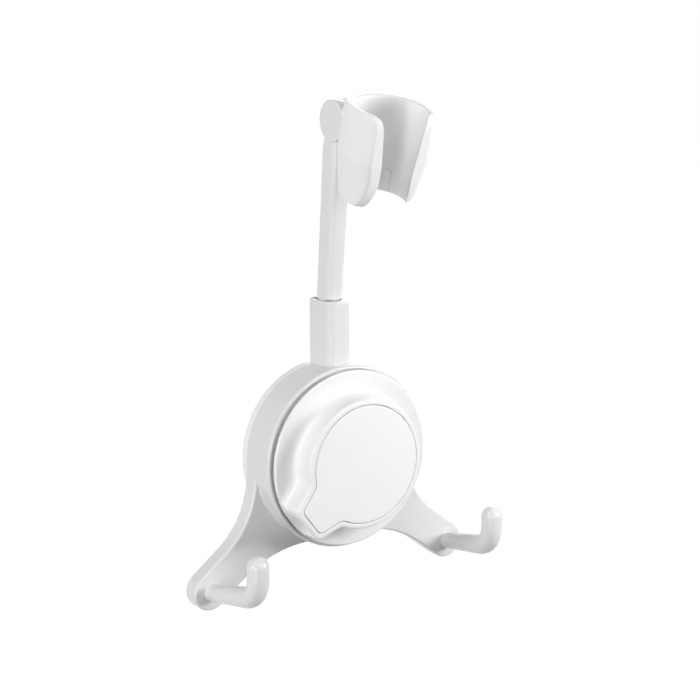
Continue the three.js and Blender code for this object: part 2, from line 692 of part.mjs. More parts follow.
// One helical ramp: a ring sector whose front face climbs at the cam's lead.
function camRamp(pinAngle) {
  const low = THREE.MathUtils.degToRad(pinAngle - CAM_RUN_OUT);
  const high = THREE.MathUtils.degToRad(pinAngle + TWIST_ANGLE + CAM_RUN_OUT);
  const shape = new THREE.Shape();
  shape.absarc(0, 0, CAM_RADIUS, low, high, false);
  shape.absarc(0, 0, CAM_BORE, high, low, true);
  const geometry = new THREE.ExtrudeGeometry(shape, { depth: 1, bevelEnabled: false, curveSegments: 8 });
  const points = geometry.getAttribute('position');
  const centre = new THREE.Vector2();
  const middle = (low + high) / 2;
  for (let i = 0; i < points.count; i += 1) {
    const turned = new THREE.Vector2(points.getX(i), points.getY(i)).rotateAround(centre, -middle);
    const climb = CAM_LEAD * (Math.atan2(turned.y, turned.x) + middle - THREE.MathUtils.degToRad(pinAngle));
    points.setZ(i, points.getZ(i) > 0.5 ? RAMP_START + climb : CAM_BACK);
  }
  return solidOf(geometry.rotateX(Math.PI / 2));
}

function camRing() {
  const base = revolveFront(tube(CAM_BORE, CAM_RADIUS, CAM_BACK, CAM_BACK + CAM_BASE), 2 * SMALL_FACETS);
  const lugEnd = CAM_RADIUS + CAM_LUG_REACH;
  const half = CAM_LUG_WIDTH / 2;
  const lugs = box(-half, half, CAM_BACK, CAM_BACK + CAM_BASE, -lugEnd, lugEnd);
  const lugBore = revolveFront(disc(CAM_RADIUS - 1, CAM_BACK - 1, CAM_BACK + CAM_BASE + 1), SMALL_FACETS);
  const solid = unite(base, cut(lugs, lugBore), camRamp(0), camRamp(180));
  return part('cam_ring', solid, FINISH.acetal);
}

function thrustWasher() {
  const front = THRUST_BACK + THRUST_WASHER_THICKNESS;
  const solid = revolveFront(tube(CAM_BORE, HUB_OUTER, THRUST_BACK, front), SMALL_FACETS * 2);
  return part('thrust_washer', solid, FINISH.acetal);
}

// The cover's outline: a disc with a blunt tapering pointer, grown by an offset.
function pointerOutline(offset) {
  const radius = COVER_RADIUS + offset;
  const taper = THREE.MathUtils.degToRad(POINTER_TAPER);
  const along = new THREE.Vector2(Math.cos(taper), -Math.sin(taper));
  const outward = new THREE.Vector2(Math.sin(taper), Math.cos(taper));
  const anchor = new THREE.Vector2(POINTER_REACH, POINTER_HALF_WIDTH).addScaledVector(outward, offset);
  const end = POINTER_REACH + offset;
  const tip = anchor.clone().addScaledVector(along, (end - anchor.x) / along.x);
  const reach = anchor.dot(along);
  const chord = Math.sqrt(radius * radius - anchor.lengthSq() + reach * reach);
  const root = anchor.clone().addScaledVector(along, chord - reach);
  const corner = POINTER_CORNER + Math.max(0, offset) / 2;
  const onFlank = tip.clone().addScaledVector(along, -corner);
  const rootAngle = root.angle();
  const rim = new THREE.EllipseCurve(0, 0, radius, radius, rootAngle, 2 * Math.PI - rootAngle);
  const flank = new THREE.Vector2(onFlank.x, -onFlank.y);
  const lower = new THREE.QuadraticBezierCurve(
    flank, new THREE.Vector2(tip.x, -tip.y), new THREE.Vector2(tip.x, corner - tip.y),
  );
  const upper = new THREE.QuadraticBezierCurve(new THREE.Vector2(tip.x, tip.y - corner), tip, onFlank);
  const outline = [...rim.getPoints(LARGE_FACETS - 8), ...lower.getPoints(3), ...upper.getPoints(3)];
  const turn = THREE.MathUtils.degToRad(POINTER_ANGLE);
  const centre = new THREE.Vector2();
  return outline.map((point) => point.rotateAround(centre, turn));
}

function indicatorCover() {
  const back = KNOB_FLOOR + CLEARANCE;
  const solid = extrudeFront(new THREE.Shape(pointerOutline(0)), back, back + COVER_THICKNESS, COVER_EDGE);
  return part('indicator_cover', solid, FINISH.whitePlastic);
}

// The raised boss of the knob, with a cove at its foot and a round front edge.
function knobBoss() {
  const limit = KNOB_RADIUS - THIN_GAP;
  const ring = (offset, front) => pointerOutline(offset).map((point) => {
    const shrink = Math.min(1, limit / point.length());
    return new THREE.Vector3(point.x * shrink, -front, point.y * shrink);
  });
  const foot = KNOB_BACK + KNOB_FLANGE;
  const rings = [ring(KNOB_RIM + KNOB_COVE, KNOB_BACK)];
  for (const turn of [0, 30, 60, 90]) {
    const edge = radial(KNOB_COVE, turn);
    rings.push(ring(KNOB_RIM + KNOB_COVE - edge.y, foot + KNOB_COVE - edge.x));
  }
  for (const turn of [0, 30, 60, 90]) {
    const edge = radial(KNOB_FRONT_ROUND, turn);
    rings.push(ring(KNOB_RIM - KNOB_FRONT_ROUND + edge.x, KNOB_FRONT - KNOB_FRONT_ROUND + edge.y));
  }
  return loft(rings);
}

function knobShell() {
  const edge = KNOB_FLANGE / 2;
  const flange = revolveFront([
    [0, KNOB_BACK],
    [KNOB_RADIUS - edge / 2, KNOB_BACK],
    [KNOB_RADIUS, KNOB_BACK + edge / 2],
    [KNOB_RADIUS, KNOB_BACK + edge],
    [KNOB_RADIUS - edge, KNOB_BACK + KNOB_FLANGE],
    [0, KNOB_BACK + KNOB_FLANGE],
  ]);
  const recess = extrudeFront(new THREE.Shape(pointerOutline(CLEARANCE)), KNOB_FLOOR, KNOB_FRONT + OVERCUT);
  const inside = new THREE.Shape(pointerOutline(KNOB_RIM - KNOB_WALL));
  const hollow = extrudeFront(inside, KNOB_BACK - OVERCUT, KNOB_INSIDE);
  let body = cut(unite(flange, knobBoss()), recess, hollow);
  const hub = revolveFront(tube(HUB_INNER, HUB_OUTER, CAM_BACK, KNOB_INSIDE + 1), SMALL_FACETS * 2);
  const skirt = revolveFront(
    tube(SKIRT_OUTER - KNOB_SKIRT_WALL, SKIRT_OUTER, WEB_FRONT + CLEARANCE, KNOB_BACK + 1),
  );
  body = unite(body, hub, skirt, ...knobRibs());
  const half = CAM_LUG_WIDTH / 2 + CLEARANCE;
  const lugEnd = CAM_RADIUS + CAM_LUG_REACH + CLEARANCE;
  const lugTop = CAM_BACK + CAM_BASE + CLEARANCE;
  const lugSlots = box(-half, half, CAM_BACK - 1, lugTop, -lugEnd, lugEnd);
  return part('knob_shell', cut(body, lugSlots), FINISH.whitePlastic);
}

// Radial ribs inside the knob, from the hub to the wall of the boss.
function knobRibs() {
  const half = KNOB_RIB_THICKNESS / 2;
  const ribs = [];
  for (let count = 0; count < KNOB_RIB_COUNT; count += 1) {
    const rib = box(HUB_OUTER - 1, COVER_RADIUS + KNOB_RIM - 1, KNOB_BACK, KNOB_INSIDE + 1, -half, half);
    ribs.push(rib.rotate([0, count * (360 / KNOB_RIB_COUNT) - POINTER_ANGLE, 0]));
  }
  return ribs;
}

// Arm with a round spigot and collar, a shaft that leans and swells towards the top, and a forked head.
function uprightArm() {
  const spigotEnd = BORE_FLOOR + CLEARANCE;
  const spigot = atSwivel(revolveUpright([
    [0, spigotEnd],
    [SPIGOT_RADIUS, spigotEnd],
    [SPIGOT_RADIUS, SHOULDER],
    [ARM_FOOT_HALF_WIDTH, SHOULDER],
    [ARM_FOOT_HALF_WIDTH, ARM_FOOT + 1],
    [0, ARM_FOOT + 1],
  ], SMALL_FACETS));
  const groove = atSwivel(revolveUpright(tube(
    SPIGOT_RADIUS - CLIP_BITE, SPIGOT_RADIUS + 1, CLIP_BOTTOM - CLEARANCE, CLIP_TOP + CLEARANCE,
  ), SMALL_FACETS));
  const shaftTop = PIVOT_HEIGHT - ARM_TOP_DROP;
  const topFront = PIVOT_FRONT - ARM_TOP_SETBACK;
  const shaft = loft([
    plate(ARM_FOOT_HALF_WIDTH, ARM_FOOT_HALF_DEPTH, ARM_CORNER, SWIVEL_FRONT, ARM_FOOT),
    plate(ARM_TOP_HALF_WIDTH, ARM_TOP_HALF_DEPTH, ARM_CORNER, topFront, shaftTop),
  ]);
  const cheek = EAR_OUTER - FORK_STEP;
  const baseHeight = PIVOT_HEIGHT - FORK_BASE_DROP;
  const baseShare = (baseHeight - ARM_FOOT) / (shaftTop - ARM_FOOT);
  const baseFront = THREE.MathUtils.lerp(SWIVEL_FRONT, topFront, baseShare);
  const baseDepth = THREE.MathUtils.lerp(ARM_FOOT_HALF_DEPTH, ARM_TOP_HALF_DEPTH, baseShare);
  const fork = loft([
    plate(ARM_FOOT_HALF_WIDTH, baseDepth - THIN_GAP, ARM_CORNER, baseFront, baseHeight),
    plate(cheek, ARM_TOP_HALF_DEPTH, ARM_CORNER, topFront, PIVOT_HEIGHT - FORK_SHOULDER_DROP),
    plate(cheek, FORK_TOP_HALF_DEPTH, ARM_CORNER, PIVOT_FRONT - FORK_TOP_SETBACK, PIVOT_HEIGHT),
  ]);
  const head = atPivot(revolveAcross([
    [0, -EAR_OUTER],
    [EAR_RADIUS - EAR_EDGE, -EAR_OUTER],
    [EAR_RADIUS, EAR_EDGE - EAR_OUTER],
    [EAR_RADIUS, EAR_OUTER - EAR_EDGE],
    [EAR_RADIUS - EAR_EDGE, EAR_OUTER],
    [0, EAR_OUTER],
  ], LARGE_FACETS));
  const slot = atPivot(revolveAcross(disc(SLOT_RADIUS, -SLOT_HALF, SLOT_HALF), LARGE_FACETS));
  const screwHole = atPivot(revolveAcross(disc(PIVOT_HOLE, 0, EAR_OUTER)));
  const headRoom = disc(PIVOT_HEAD_RADIUS + CLEARANCE, CAP_SEAT, EAR_OUTER + OVERCUT);
  const counterbore = atPivot(revolveAcross(headRoom));
  const insertHole = atPivot(revolveAcross(disc(INSERT_RADIUS + CLEARANCE, INSERT_END - CLEARANCE, 0)));
  const solid = cut(
    unite(cut(spigot, groove), shaft, fork, head), slot, screwHole, counterbore, insertHole,
  );
  return part('upright_arm', solid, FINISH.whitePlastic);
}

function atPivot(solid) {
  return solid.translate(0, -PIVOT_FRONT, PIVOT_HEIGHT);
}

function swivelBush() {
  const inner = SPIGOT_RADIUS + CLEARANCE;
  const outer = BORE_RADIUS - CLEARANCE;
  const bottom = CLIP_TOP + 2 * CLEARANCE;
  const solid = revolveUpright(tube(inner, outer, bottom, SWIVEL_RING_BOTTOM - CLEARANCE), SMALL_FACETS);
  return part('swivel_bush', atSwivel(solid), FINISH.acetal);
}

function swivelRing() {
  const outer = BORE_RADIUS - CLEARANCE;
  const edge = SWIVEL_RING_HEIGHT / 3;
  const inner = SPIGOT_RADIUS + CLEARANCE;
  const top = SWIVEL_RING_BOTTOM + SWIVEL_RING_HEIGHT;
  const solid = revolveUpright([
    [inner, SWIVEL_RING_BOTTOM],
    [outer - edge, SWIVEL_RING_BOTTOM],
    [outer, SWIVEL_RING_BOTTOM + edge],
    [outer, top - edge],
    [outer - edge, top],
    [inner, top],
    [inner, SWIVEL_RING_BOTTOM],
  ], SMALL_FACETS);
  return part('swivel_ring', atSwivel(solid), FINISH.rubber);
}

// U-shaped clip pushed in from behind; its prongs hold the spigot's groove.
function swivelClip() {
  const inner = SPIGOT_RADIUS - CLIP_BITE + CLEARANCE;
  const outer = inner + CLIP_WIDTH;
  const back = SLEEVE_BACK + CLEARANCE;
  const front = SWIVEL_FRONT + SPIGOT_RADIUS - CLEARANCE;
  const blank = box(-outer, outer, back, front, CLIP_BOTTOM, CLIP_TOP);
  const gap = box(-inner, inner, SWIVEL_FRONT, front + OVERCUT, CLIP_BOTTOM - 1, CLIP_TOP + 1);
  const throat = atSwivel(revolveUpright(disc(inner, CLIP_BOTTOM - 1, CLIP_TOP + 1), SMALL_FACETS));
  return part('swivel_clip', cut(blank, gap, throat), FINISH.acetal);
}

// The cradle is drawn square to its own bore, with the hinge's axis through the local origin.
function holderCradle() {
  const inset = CRADLE_RIM_ROUND;
  const cup = loft([
    cupRing(CRADLE_BOTTOM_RADIUS - inset, -CRADLE_FALL),
    cupRing(CRADLE_BOTTOM_RADIUS, inset - CRADLE_FALL),
    cupRing(CRADLE_TOP_RADIUS, -CRADLE_CREASE_DROP),
    cupRing(CRADLE_TOP_RADIUS, CRADLE_RISE - inset),
    cupRing(CRADLE_TOP_RADIUS - inset, CRADLE_RISE),
  ]);
  const steep = (CRADLE_TOP_RADIUS - CRADLE_BOTTOM_RADIUS) / (CRADLE_RISE + CRADLE_FALL);
  const bore = revolveUpright([
    [0, -CRADLE_FALL - OVERCUT],
    [CUP_BORE_BOTTOM - steep * OVERCUT, -CRADLE_FALL - OVERCUT],
    [CUP_BORE_TOP + steep * OVERCUT, CRADLE_RISE + OVERCUT],
    [0, CRADLE_RISE + OVERCUT],
  ], LARGE_FACETS).translate(0, -CRADLE_OFFSET, 0);
  const lips = extrudeAcross(lipOutline(), -CRADLE_TOP_RADIUS - 1, CRADLE_TOP_RADIUS + 1);
  const headRoom = disc(SLOT_RADIUS + CLEARANCE, -NECK_HALF_WIDTH - 1, NECK_HALF_WIDTH + 1);
  const block = extrudeAcross(neckOutline(), -NECK_HALF_WIDTH, NECK_HALF_WIDTH, NECK_EDGE);
  const neck = cut(block, revolveAcross(headRoom, LARGE_FACETS));
  const reach = CRADLE_OFFSET - CRADLE_TOP_RADIUS;
  const web = box(-TONGUE_HALF, TONGUE_HALF, 0, reach, -TONGUE_DROP, TONGUE_RISE);
  const eye = revolveAcross(disc(TONGUE_RADIUS, -TONGUE_HALF, TONGUE_HALF), LARGE_FACETS);
  const hole = revolveAcross(disc(PIVOT_HOLE, -EAR_OUTER, EAR_OUTER));
  const body = cut(unite(cup.intersect(lips), neck, web, eye), bore, hole);
  return part('holder_cradle', unite(body, ...seatRibs()), FINISH.whitePlastic);
}

// The cup's outside at one height: a circle whose back half is set back towards the hinge.
function cupRing(radius, height) {
  const ring = [];
  for (let step = 0; step < LARGE_FACETS; step += 1) {
    const across = radial(radius, ((step + 0.5) / LARGE_FACETS) * 360);
    const stretch = across.y < 0 ? CRADLE_BACK_STRETCH : 0;
    ring.push(new THREE.Vector3(across.x, stretch - across.y - CRADLE_OFFSET, height));
  }
  return ring;
}

// Short upright ribs low in the bore, on either side of its back, that seat the shower's cone.
function seatRibs() {
  const half = SEAT_RIB_WIDTH / 2;
  const foot = CRADLE_RIM_ROUND - CRADLE_FALL;
  const shoulder = foot + SEAT_RIB_HEIGHT - half;
  const outline = new THREE.Shape();
  outline.moveTo(-half, foot);
  outline.lineTo(half, foot);
  outline.lineTo(half, shoulder);
  outline.absarc(0, shoulder, half, 0, Math.PI, false);
  const back = -CUP_BORE_BOTTOM - CRADLE_WALL / 2;
  const rib = extrudeFront(outline, back, SEAT_RIB_PROUD - CUP_BORE_BOTTOM);
  return SIDES.map(({ sign }) => rib.rotate([0, 0, sign * SEAT_RIB_ANGLE]).translate(0, -CRADLE_OFFSET, 0));
}

// Side view of the cup with its front cut off square to make the mouth between two round-cornered lips.
function lipOutline() {
  const back = CRADLE_OFFSET - CRADLE_TOP_RADIUS - CRADLE_BACK_STRETCH - 1;
  const front = CRADLE_OFFSET + CRADLE_MOUTH;
  const [bottom, top] = [-CRADLE_FALL, CRADLE_RISE];
  const shape = new THREE.Shape();
  shape.moveTo(back, bottom - 1);
  shape.lineTo(front - LIP_BOTTOM_RUN, bottom - 1);
  shape.lineTo(front - LIP_BOTTOM_RUN, bottom);
  shape.quadraticCurveTo(front, bottom, front, bottom + LIP_BOTTOM_RISE);
  shape.lineTo(front, top - LIP_TOP_ROUND);
  shape.quadraticCurveTo(front, top, front - LIP_TOP_ROUND, top);
  shape.lineTo(front - LIP_TOP_ROUND, top + 1);
  shape.lineTo(back, top + 1);
  return shape;
}

function neckOutline() {
  const front = CRADLE_OFFSET - CRADLE_BOTTOM_RADIUS;
  const top = CRADLE_RISE - CRADLE_RIM_ROUND / 2;
  const round = 3 * NECK_EDGE;
  const shape = new THREE.Shape();
  shape.moveTo(front, -TONGUE_DROP);
  shape.lineTo(front, top);
  shape.lineTo(NECK_BACK + round, top);
  shape.quadraticCurveTo(NECK_BACK, top, NECK_BACK, top - round);
  shape.lineTo(NECK_BACK, -TONGUE_DROP);
  return shape;
}

function pivotScrew() {
  const end = INSERT_END + CLEARANCE;
  const solid = revolveAcross([
    [0, end],
    [PIVOT_SCREW_RADIUS, end],
    [PIVOT_SCREW_RADIUS, HEAD_SEAT],
    [PIVOT_HEAD_RADIUS, HEAD_SEAT],
    [PIVOT_HEAD_RADIUS, HEAD_SEAT + PIVOT_HEAD_HEIGHT * 0.6],
    [PIVOT_HEAD_RADIUS * 0.8, HEAD_SEAT + PIVOT_HEAD_HEIGHT],
    [0, HEAD_SEAT + PIVOT_HEAD_HEIGHT],
  ]);
  return part('pivot_screw', atPivot(solid), FINISH.steel);
}

function pivotInsert() {
  const solid = revolveAcross(tube(PIVOT_HOLE, INSERT_RADIUS, INSERT_END, INSERT_END + INSERT_LENGTH));
  return part('pivot_insert', atPivot(solid), FINISH.brass);
}

function springWasher() {
  const low = CAP_SEAT + THIN_GAP;
  const solid = revolveAcross(tube(PIVOT_HOLE, PIVOT_HEAD_RADIUS, low, low + SPRING_WASHER_THICKNESS));
  return part('spring_washer', atPivot(solid), FINISH.steel);
}

function screwCap() {
  const low = HEAD_SEAT + PIVOT_HEAD_HEIGHT + CLEARANCE;
  const high = EAR_OUTER + CAP_PROUD;
  const solid = revolveAcross([
    [0, low],
    [PIVOT_HEAD_RADIUS, low],
    [PIVOT_HEAD_RADIUS, EAR_OUTER],
    [PIVOT_HEAD_RADIUS * 0.75, high - CAP_PROUD / 4],
    [0, high],
  ]);
  return part('screw_cap', atPivot(solid), FINISH.whitePlastic);
}

function frictionWasher({ name, sign }) {
  const inner = TONGUE_HALF + THIN_GAP;
  const outer = inner + FRICTION_WASHER_THICKNESS;
  const [low, high] = sign > 0 ? [inner, outer] : [-outer, -inner];
  const solid = revolveAcross(tube(PIVOT_HOLE, FRICTION_WASHER_RADIUS, low, high), SMALL_FACETS);
  return part(`${name}_friction_washer`, atPivot(solid), FINISH.greyPlastic);
}

const bracket = new THREE.Group();
bracket.add(bracketBody(), suctionPad());
for (const side of SIDES) {
  bracket.add(hook(side), hookScrew(side));
}

const lock = new THREE.Group();
lock.add(padStud(), crossPin(), camRing(), thrustWasher(), knobShell(), indicatorCover());

const arm = new THREE.Group();
arm.add(uprightArm(), swivelBush(), swivelRing(), swivelClip());
arm.add(pivotScrew(), pivotInsert(), springWasher(), screwCap(), ...SIDES.map(frictionWasher));

const cradle = new THREE.Group();
cradle.position.set(0, -PIVOT_FRONT, PIVOT_HEIGHT);
cradle.rotation.x = THREE.MathUtils.degToRad(CRADLE_LEAN);
cradle.add(holderCradle());

const holder = new THREE.Group();
holder.add(bracket, lock, arm, cradle);

export default holder;
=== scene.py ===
"""Hand-shower holder for a tiled wall: its looks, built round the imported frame."""
import logging
import math
from dataclasses import dataclass
from enum import Enum
from typing import Sequence

import bmesh
import bpy
import numpy as np
from mathutils import Matrix, Vector


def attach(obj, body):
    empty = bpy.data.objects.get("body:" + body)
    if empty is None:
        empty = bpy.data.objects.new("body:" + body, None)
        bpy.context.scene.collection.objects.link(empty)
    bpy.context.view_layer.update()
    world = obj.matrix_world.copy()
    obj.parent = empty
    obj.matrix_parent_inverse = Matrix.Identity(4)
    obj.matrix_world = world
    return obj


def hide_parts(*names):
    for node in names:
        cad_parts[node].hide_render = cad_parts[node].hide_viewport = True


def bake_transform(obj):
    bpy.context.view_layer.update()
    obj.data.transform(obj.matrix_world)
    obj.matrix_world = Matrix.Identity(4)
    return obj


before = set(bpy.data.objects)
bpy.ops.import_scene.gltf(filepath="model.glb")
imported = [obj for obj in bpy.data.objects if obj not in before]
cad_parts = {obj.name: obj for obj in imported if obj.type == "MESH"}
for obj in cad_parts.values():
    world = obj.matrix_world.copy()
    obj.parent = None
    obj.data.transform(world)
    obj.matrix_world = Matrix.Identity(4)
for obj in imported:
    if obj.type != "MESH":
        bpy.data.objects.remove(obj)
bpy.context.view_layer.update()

LOG = logging.getLogger("holder")
MM = 0.001
SEGMENTS = 144
MIDDLE_SEGMENTS = 96
SMALL_SEGMENTS = 48
WELD = 2e-6
POLE = 1e-6
SLIVER = 1e-3
BEHIND = -1.0
PAST = 30.0
SWIVEL_FRONT = 10.7
HINGE_FRONT = 21.6
HINGE_HEIGHT = 151.8
WHITE = (1.0, 1.0, 1.0, 1.0)

Pair = tuple[float, float]
Triple = tuple[float, float, float]
Spread = tuple[np.ndarray, np.ndarray]
Spot = Pair | np.ndarray


class Axis(Enum):
    """The three axes that turned pieces are made round."""

    FRONT = "front"
    UPRIGHT = "upright"
    ACROSS = "across"


class Joining(Enum):
    """How a second solid is worked into a first one."""

    ADD = "UNION"
    TAKE = "DIFFERENCE"


class Side(Enum):
    """The two sides of the holder, as seen from the front."""

    LEFT = -1
    RIGHT = 1

    @property
    def label(self) -> str:
        """The side's name in lower case."""
        return self.name.lower()


def arc(centre: Pair, radius: float, start: float, end: float, steps: int) -> list[Pair]:
    """Points along a circular arc.

    Args:
        centre: Centre of the arc.
        radius: Radius of the arc.
        start: First angle in degrees.
        end: Last angle in degrees.
        steps: Number of equal steps.

    Returns:
        The points from start to end, both included.
    """
    turns = np.radians(np.linspace(start, end, steps + 1))
    return [(centre[0] + radius * math.cos(t), centre[1] + radius * math.sin(t)) for t in turns]


def quarter(radius: float, steps: int) -> list[Pair]:
    """Points along a quarter round.

    Args:
        radius: Radius of the round.
        steps: Number of equal steps.

    Returns:
        Pairs of distances, the first falling from the radius to 0, the second rising from 0.
    """
    turns = np.radians(np.linspace(0, 90, steps + 1))
    return [(radius * (1 - math.sin(t)), radius * (1 - math.cos(t))) for t in turns]


def bend(start: Spot, corner: Spot, end: Spot, steps: int) -> list[Pair]:
    """Points along a quadratic curve.

    Args:
        start: First point.
        corner: Control point.
        end: Last point.
        steps: Number of equal steps.

    Returns:
        The points from start to end, both included.
    """
    shares = np.linspace(0, 1, steps + 1)[:, None]
    a, b, c = (np.array(point, float) for point in (start, corner, end))
    curve = (1 - shares) ** 2 * a + 2 * shares * (1 - shares) * b + shares**2 * c
    return [tuple(point) for point in curve]


def rounded(corners: Sequence[Triple], closed: bool = False, steps: int = 6) -> list[Pair]:
    """A chain of straight runs with a round at each corner that asks for one.

    Args:
        corners: Points as (first, second, radius of the round).
        closed: Whether the last point joins the first.
        steps: Steps in each round.

    Returns:
        The points of the chain.
    """
    chain: list[Pair] = []
    count = len(corners)
    for index, (a, b, radius) in enumerate(corners):
        here = np.array((a, b), float)
        at_end = not closed and index in (0, count - 1)
        if at_end or radius <= 0:
            chain.append((a, b))
            continue
        before = np.array(corners[index - 1][:2], float) - here
        after = np.array(corners[(index + 1) % count][:2], float) - here
        before /= np.linalg.norm(before)
        after /= np.linalg.norm(after)
        half = math.acos(float(np.clip(before @ after, -1, 1))) / 2
        run = radius / math.tan(half)
        middle = here + (before + after) / np.linalg.norm(before + after) * radius / math.sin(half)
        first = here + before * run - middle
        last = here + after * run - middle
        sweep = math.atan2(first[0] * last[1] - first[1] * last[0], float(first @ last))
        for share in np.linspace(0, 1, steps + 1):
            turn = sweep * share
            spun = (
                first[0] * math.cos(turn) - first[1] * math.sin(turn),
                first[0] * math.sin(turn) + first[1] * math.cos(turn),
            )
            chain.append((middle[0] + spun[0], middle[1] + spun[1]))
    return chain


@dataclass
class Skin:
    """A closed skin in millimetres.

    Points are rows of (across, front distance from the wall, height), and faces are rows of indices.
    """

    points: np.ndarray
    faces: list[tuple[int, ...]]

    def moved(self, across: float = 0.0, front: float = 0.0, height: float = 0.0) -> "Skin":
        """The skin moved along the three directions."""
        return Skin(self.points + np.array((across, front, height)), self.faces)

    def turned(self, degrees: float) -> "Skin":
        """The skin turned about the upright axis, from across towards the front."""
        turn = math.radians(degrees)
        across, front, height = self.points.T
        points = (
            across * math.cos(turn) - front * math.sin(turn),
            across * math.sin(turn) + front * math.cos(turn),
            height,
        )
        return Skin(np.stack(points, axis=1), self.faces)

    def outward(self) -> "Skin":
        """The skin with its faces pointing out, judged by the volume that they enclose."""
        real = self.points * np.array((1, -1, 1))
        volume = 0.0
        for face in self.faces:
            first = real[face[0]]
            for second, third in zip(face[1:-1], face[2:]):
                volume += float(first @ np.cross(real[second], real[third]))
        if volume > 0:
            return self
        return Skin(self.points, [face[::-1] for face in self.faces])

    def to_object(self, name: str) -> bpy.types.Object:
        """A Blender object in metres, in the frame's own directions."""
        mesh = bpy.data.meshes.new(name)
        mesh.from_pydata((self.points * np.array((MM, -MM, MM))).tolist(), [], self.faces)
        return linked(name, mesh)


def linked(name: str, data: bpy.types.ID) -> bpy.types.Object:
    """A new object in the scene that shows some mesh, curve or lamp."""
    made = bpy.data.objects.new(name, data)
    bpy.context.scene.collection.objects.link(made)
    return made


def loft(rings: Sequence[np.ndarray], closed: bool = False) -> Skin:
    """Joins rings of points into a skin.

    Args:
        rings: Rings of equal count; a ring of one point is a pole.
        closed: Whether the last ring joins the first, as in a tube.

    Returns:
        The skin, with flat ends where it isn't closed.
    """
    starts = np.cumsum([0] + [len(ring) for ring in rings])
    faces: list[tuple[int, ...]] = []
    pairs = [(a, a + 1) for a in range(len(rings) - 1)] + ([(len(rings) - 1, 0)] if closed else [])
    for a, b in pairs:
        wide_a, wide_b = len(rings[a]) > 1, len(rings[b]) > 1
        count = max(len(rings[a]), len(rings[b]))
        for i in range(count):
            j = (i + 1) % count
            corners = (
                starts[a] + i * wide_a,
                starts[a] + j * wide_a,
                starts[b] + j * wide_b,
                starts[b] + i * wide_b,
            )
            faces.append(tuple(dict.fromkeys(int(corner) for corner in corners)))
    if not closed:
        for ring in (0, len(rings) - 1):
            if len(rings[ring]) > 2:
                faces.append(tuple(range(int(starts[ring]), int(starts[ring + 1]))))
                if ring == 0:
                    faces[-1] = faces[-1][::-1]
    return Skin(np.vstack(rings), faces).outward()


def lathe(profile: Sequence[Pair], axis: Axis, segments: int = SEGMENTS, closed: bool = False) -> Skin:
    """Turns a profile round an axis through the origin.

    Args:
        profile: Points as (radius, distance along the axis).
        axis: The axis.
        segments: Segments round the axis.
        closed: Whether the profile is a closed loop, as for a tube.

    Returns:
        The turned skin.
    """
    turns = 2 * math.pi * np.arange(segments) / segments
    rings = []
    for radius, along in profile:
        spread = turns if radius > POLE else turns[:1]
        flat = np.stack((radius * np.cos(spread), radius * np.sin(spread)), axis=1)
        rings.append(laid(flat, axis, along))
    return loft(rings, closed)


def tube(inner: float, outer: float, low: float, high: float, edge: float = 0.2) -> list[Pair]:
    """A closed profile of a plain tube with softened edges."""
    corners = [(inner, low, edge), (outer, low, edge), (outer, high, edge), (inner, high, edge)]
    return rounded(corners, closed=True, steps=3)


def rod(radius: float, low: float, high: float, edge: float = 0.3) -> list[Pair]:
    """An open profile of a plain round bar with softened edges."""
    return rounded([(0, low, 0), (radius, low, edge), (radius, high, edge), (0, high, 0)], steps=4)


def slab(outline: Sequence[Pair], axis: Axis, low: float, high: float) -> Skin:
    """A flat outline carried straight along an axis.

    Args:
        outline: Points as (across, height) for FRONT, (across, front) for UPRIGHT,
            (front, height) for ACROSS.
        axis: The direction that the outline is carried in.
        low: First distance along the axis.
        high: Last distance along the axis.

    Returns:
        The closed skin.
    """
    return loft([laid(outline, axis, low), laid(outline, axis, high)])


def laid(outline: Sequence[Pair] | np.ndarray, axis: Axis, along: float) -> np.ndarray:
    """An outline as a ring of points at one distance along an axis."""
    flat = np.array(outline, float)
    place = {Axis.FRONT: 1, Axis.UPRIGHT: 2, Axis.ACROSS: 0}[axis]
    return np.insert(flat, place, along, axis=1)


def oblong(half_a: float, half_b: float, corner: float, steps: int = 8) -> list[Pair]:
    """A rounded rectangle about the origin."""
    reach = min(corner, half_a - SLIVER, half_b - SLIVER)
    signs = ((1, 1), (-1, 1), (-1, -1), (1, -1))
    return rounded([(a * half_a, b * half_b, reach) for a, b in signs], closed=True, steps=steps)


def shifted(outline: Sequence[Pair], first: float, second: float) -> list[Pair]:
    """An outline moved in its own plane."""
    return [(a + first, b + second) for a, b in outline]


def settle(piece: bpy.types.Object) -> bpy.types.Object:
    """Turns a mesh object's evaluated shape into its plain mesh and clears its modifiers."""
    graph = bpy.context.evaluated_depsgraph_get()
    mesh = bpy.data.meshes.new_from_object(piece.evaluated_get(graph), depsgraph=graph)
    old = piece.data
    piece.modifiers.clear()
    piece.data = mesh
    bpy.data.meshes.remove(old)
    return piece


def work(base: bpy.types.Object, joining: Joining, *tools: Skin | bpy.types.Object) -> bpy.types.Object:
    """Works solids into a base solid, one after the other.

    Args:
        base: The solid that changes.
        joining: Whether the tools are added or taken away.
        *tools: Skins or mesh objects, which are used up.

    Returns:
        The base.
    """
    for tool in tools:
        solid = tool.to_object("tool") if isinstance(tool, Skin) else tool
        step = base.modifiers.new("work", "BOOLEAN")
        step.operation = joining.value
        step.solver = "MANIFOLD"
        step.object = solid
        settle(base)
        bpy.data.objects.remove(solid)
    return base


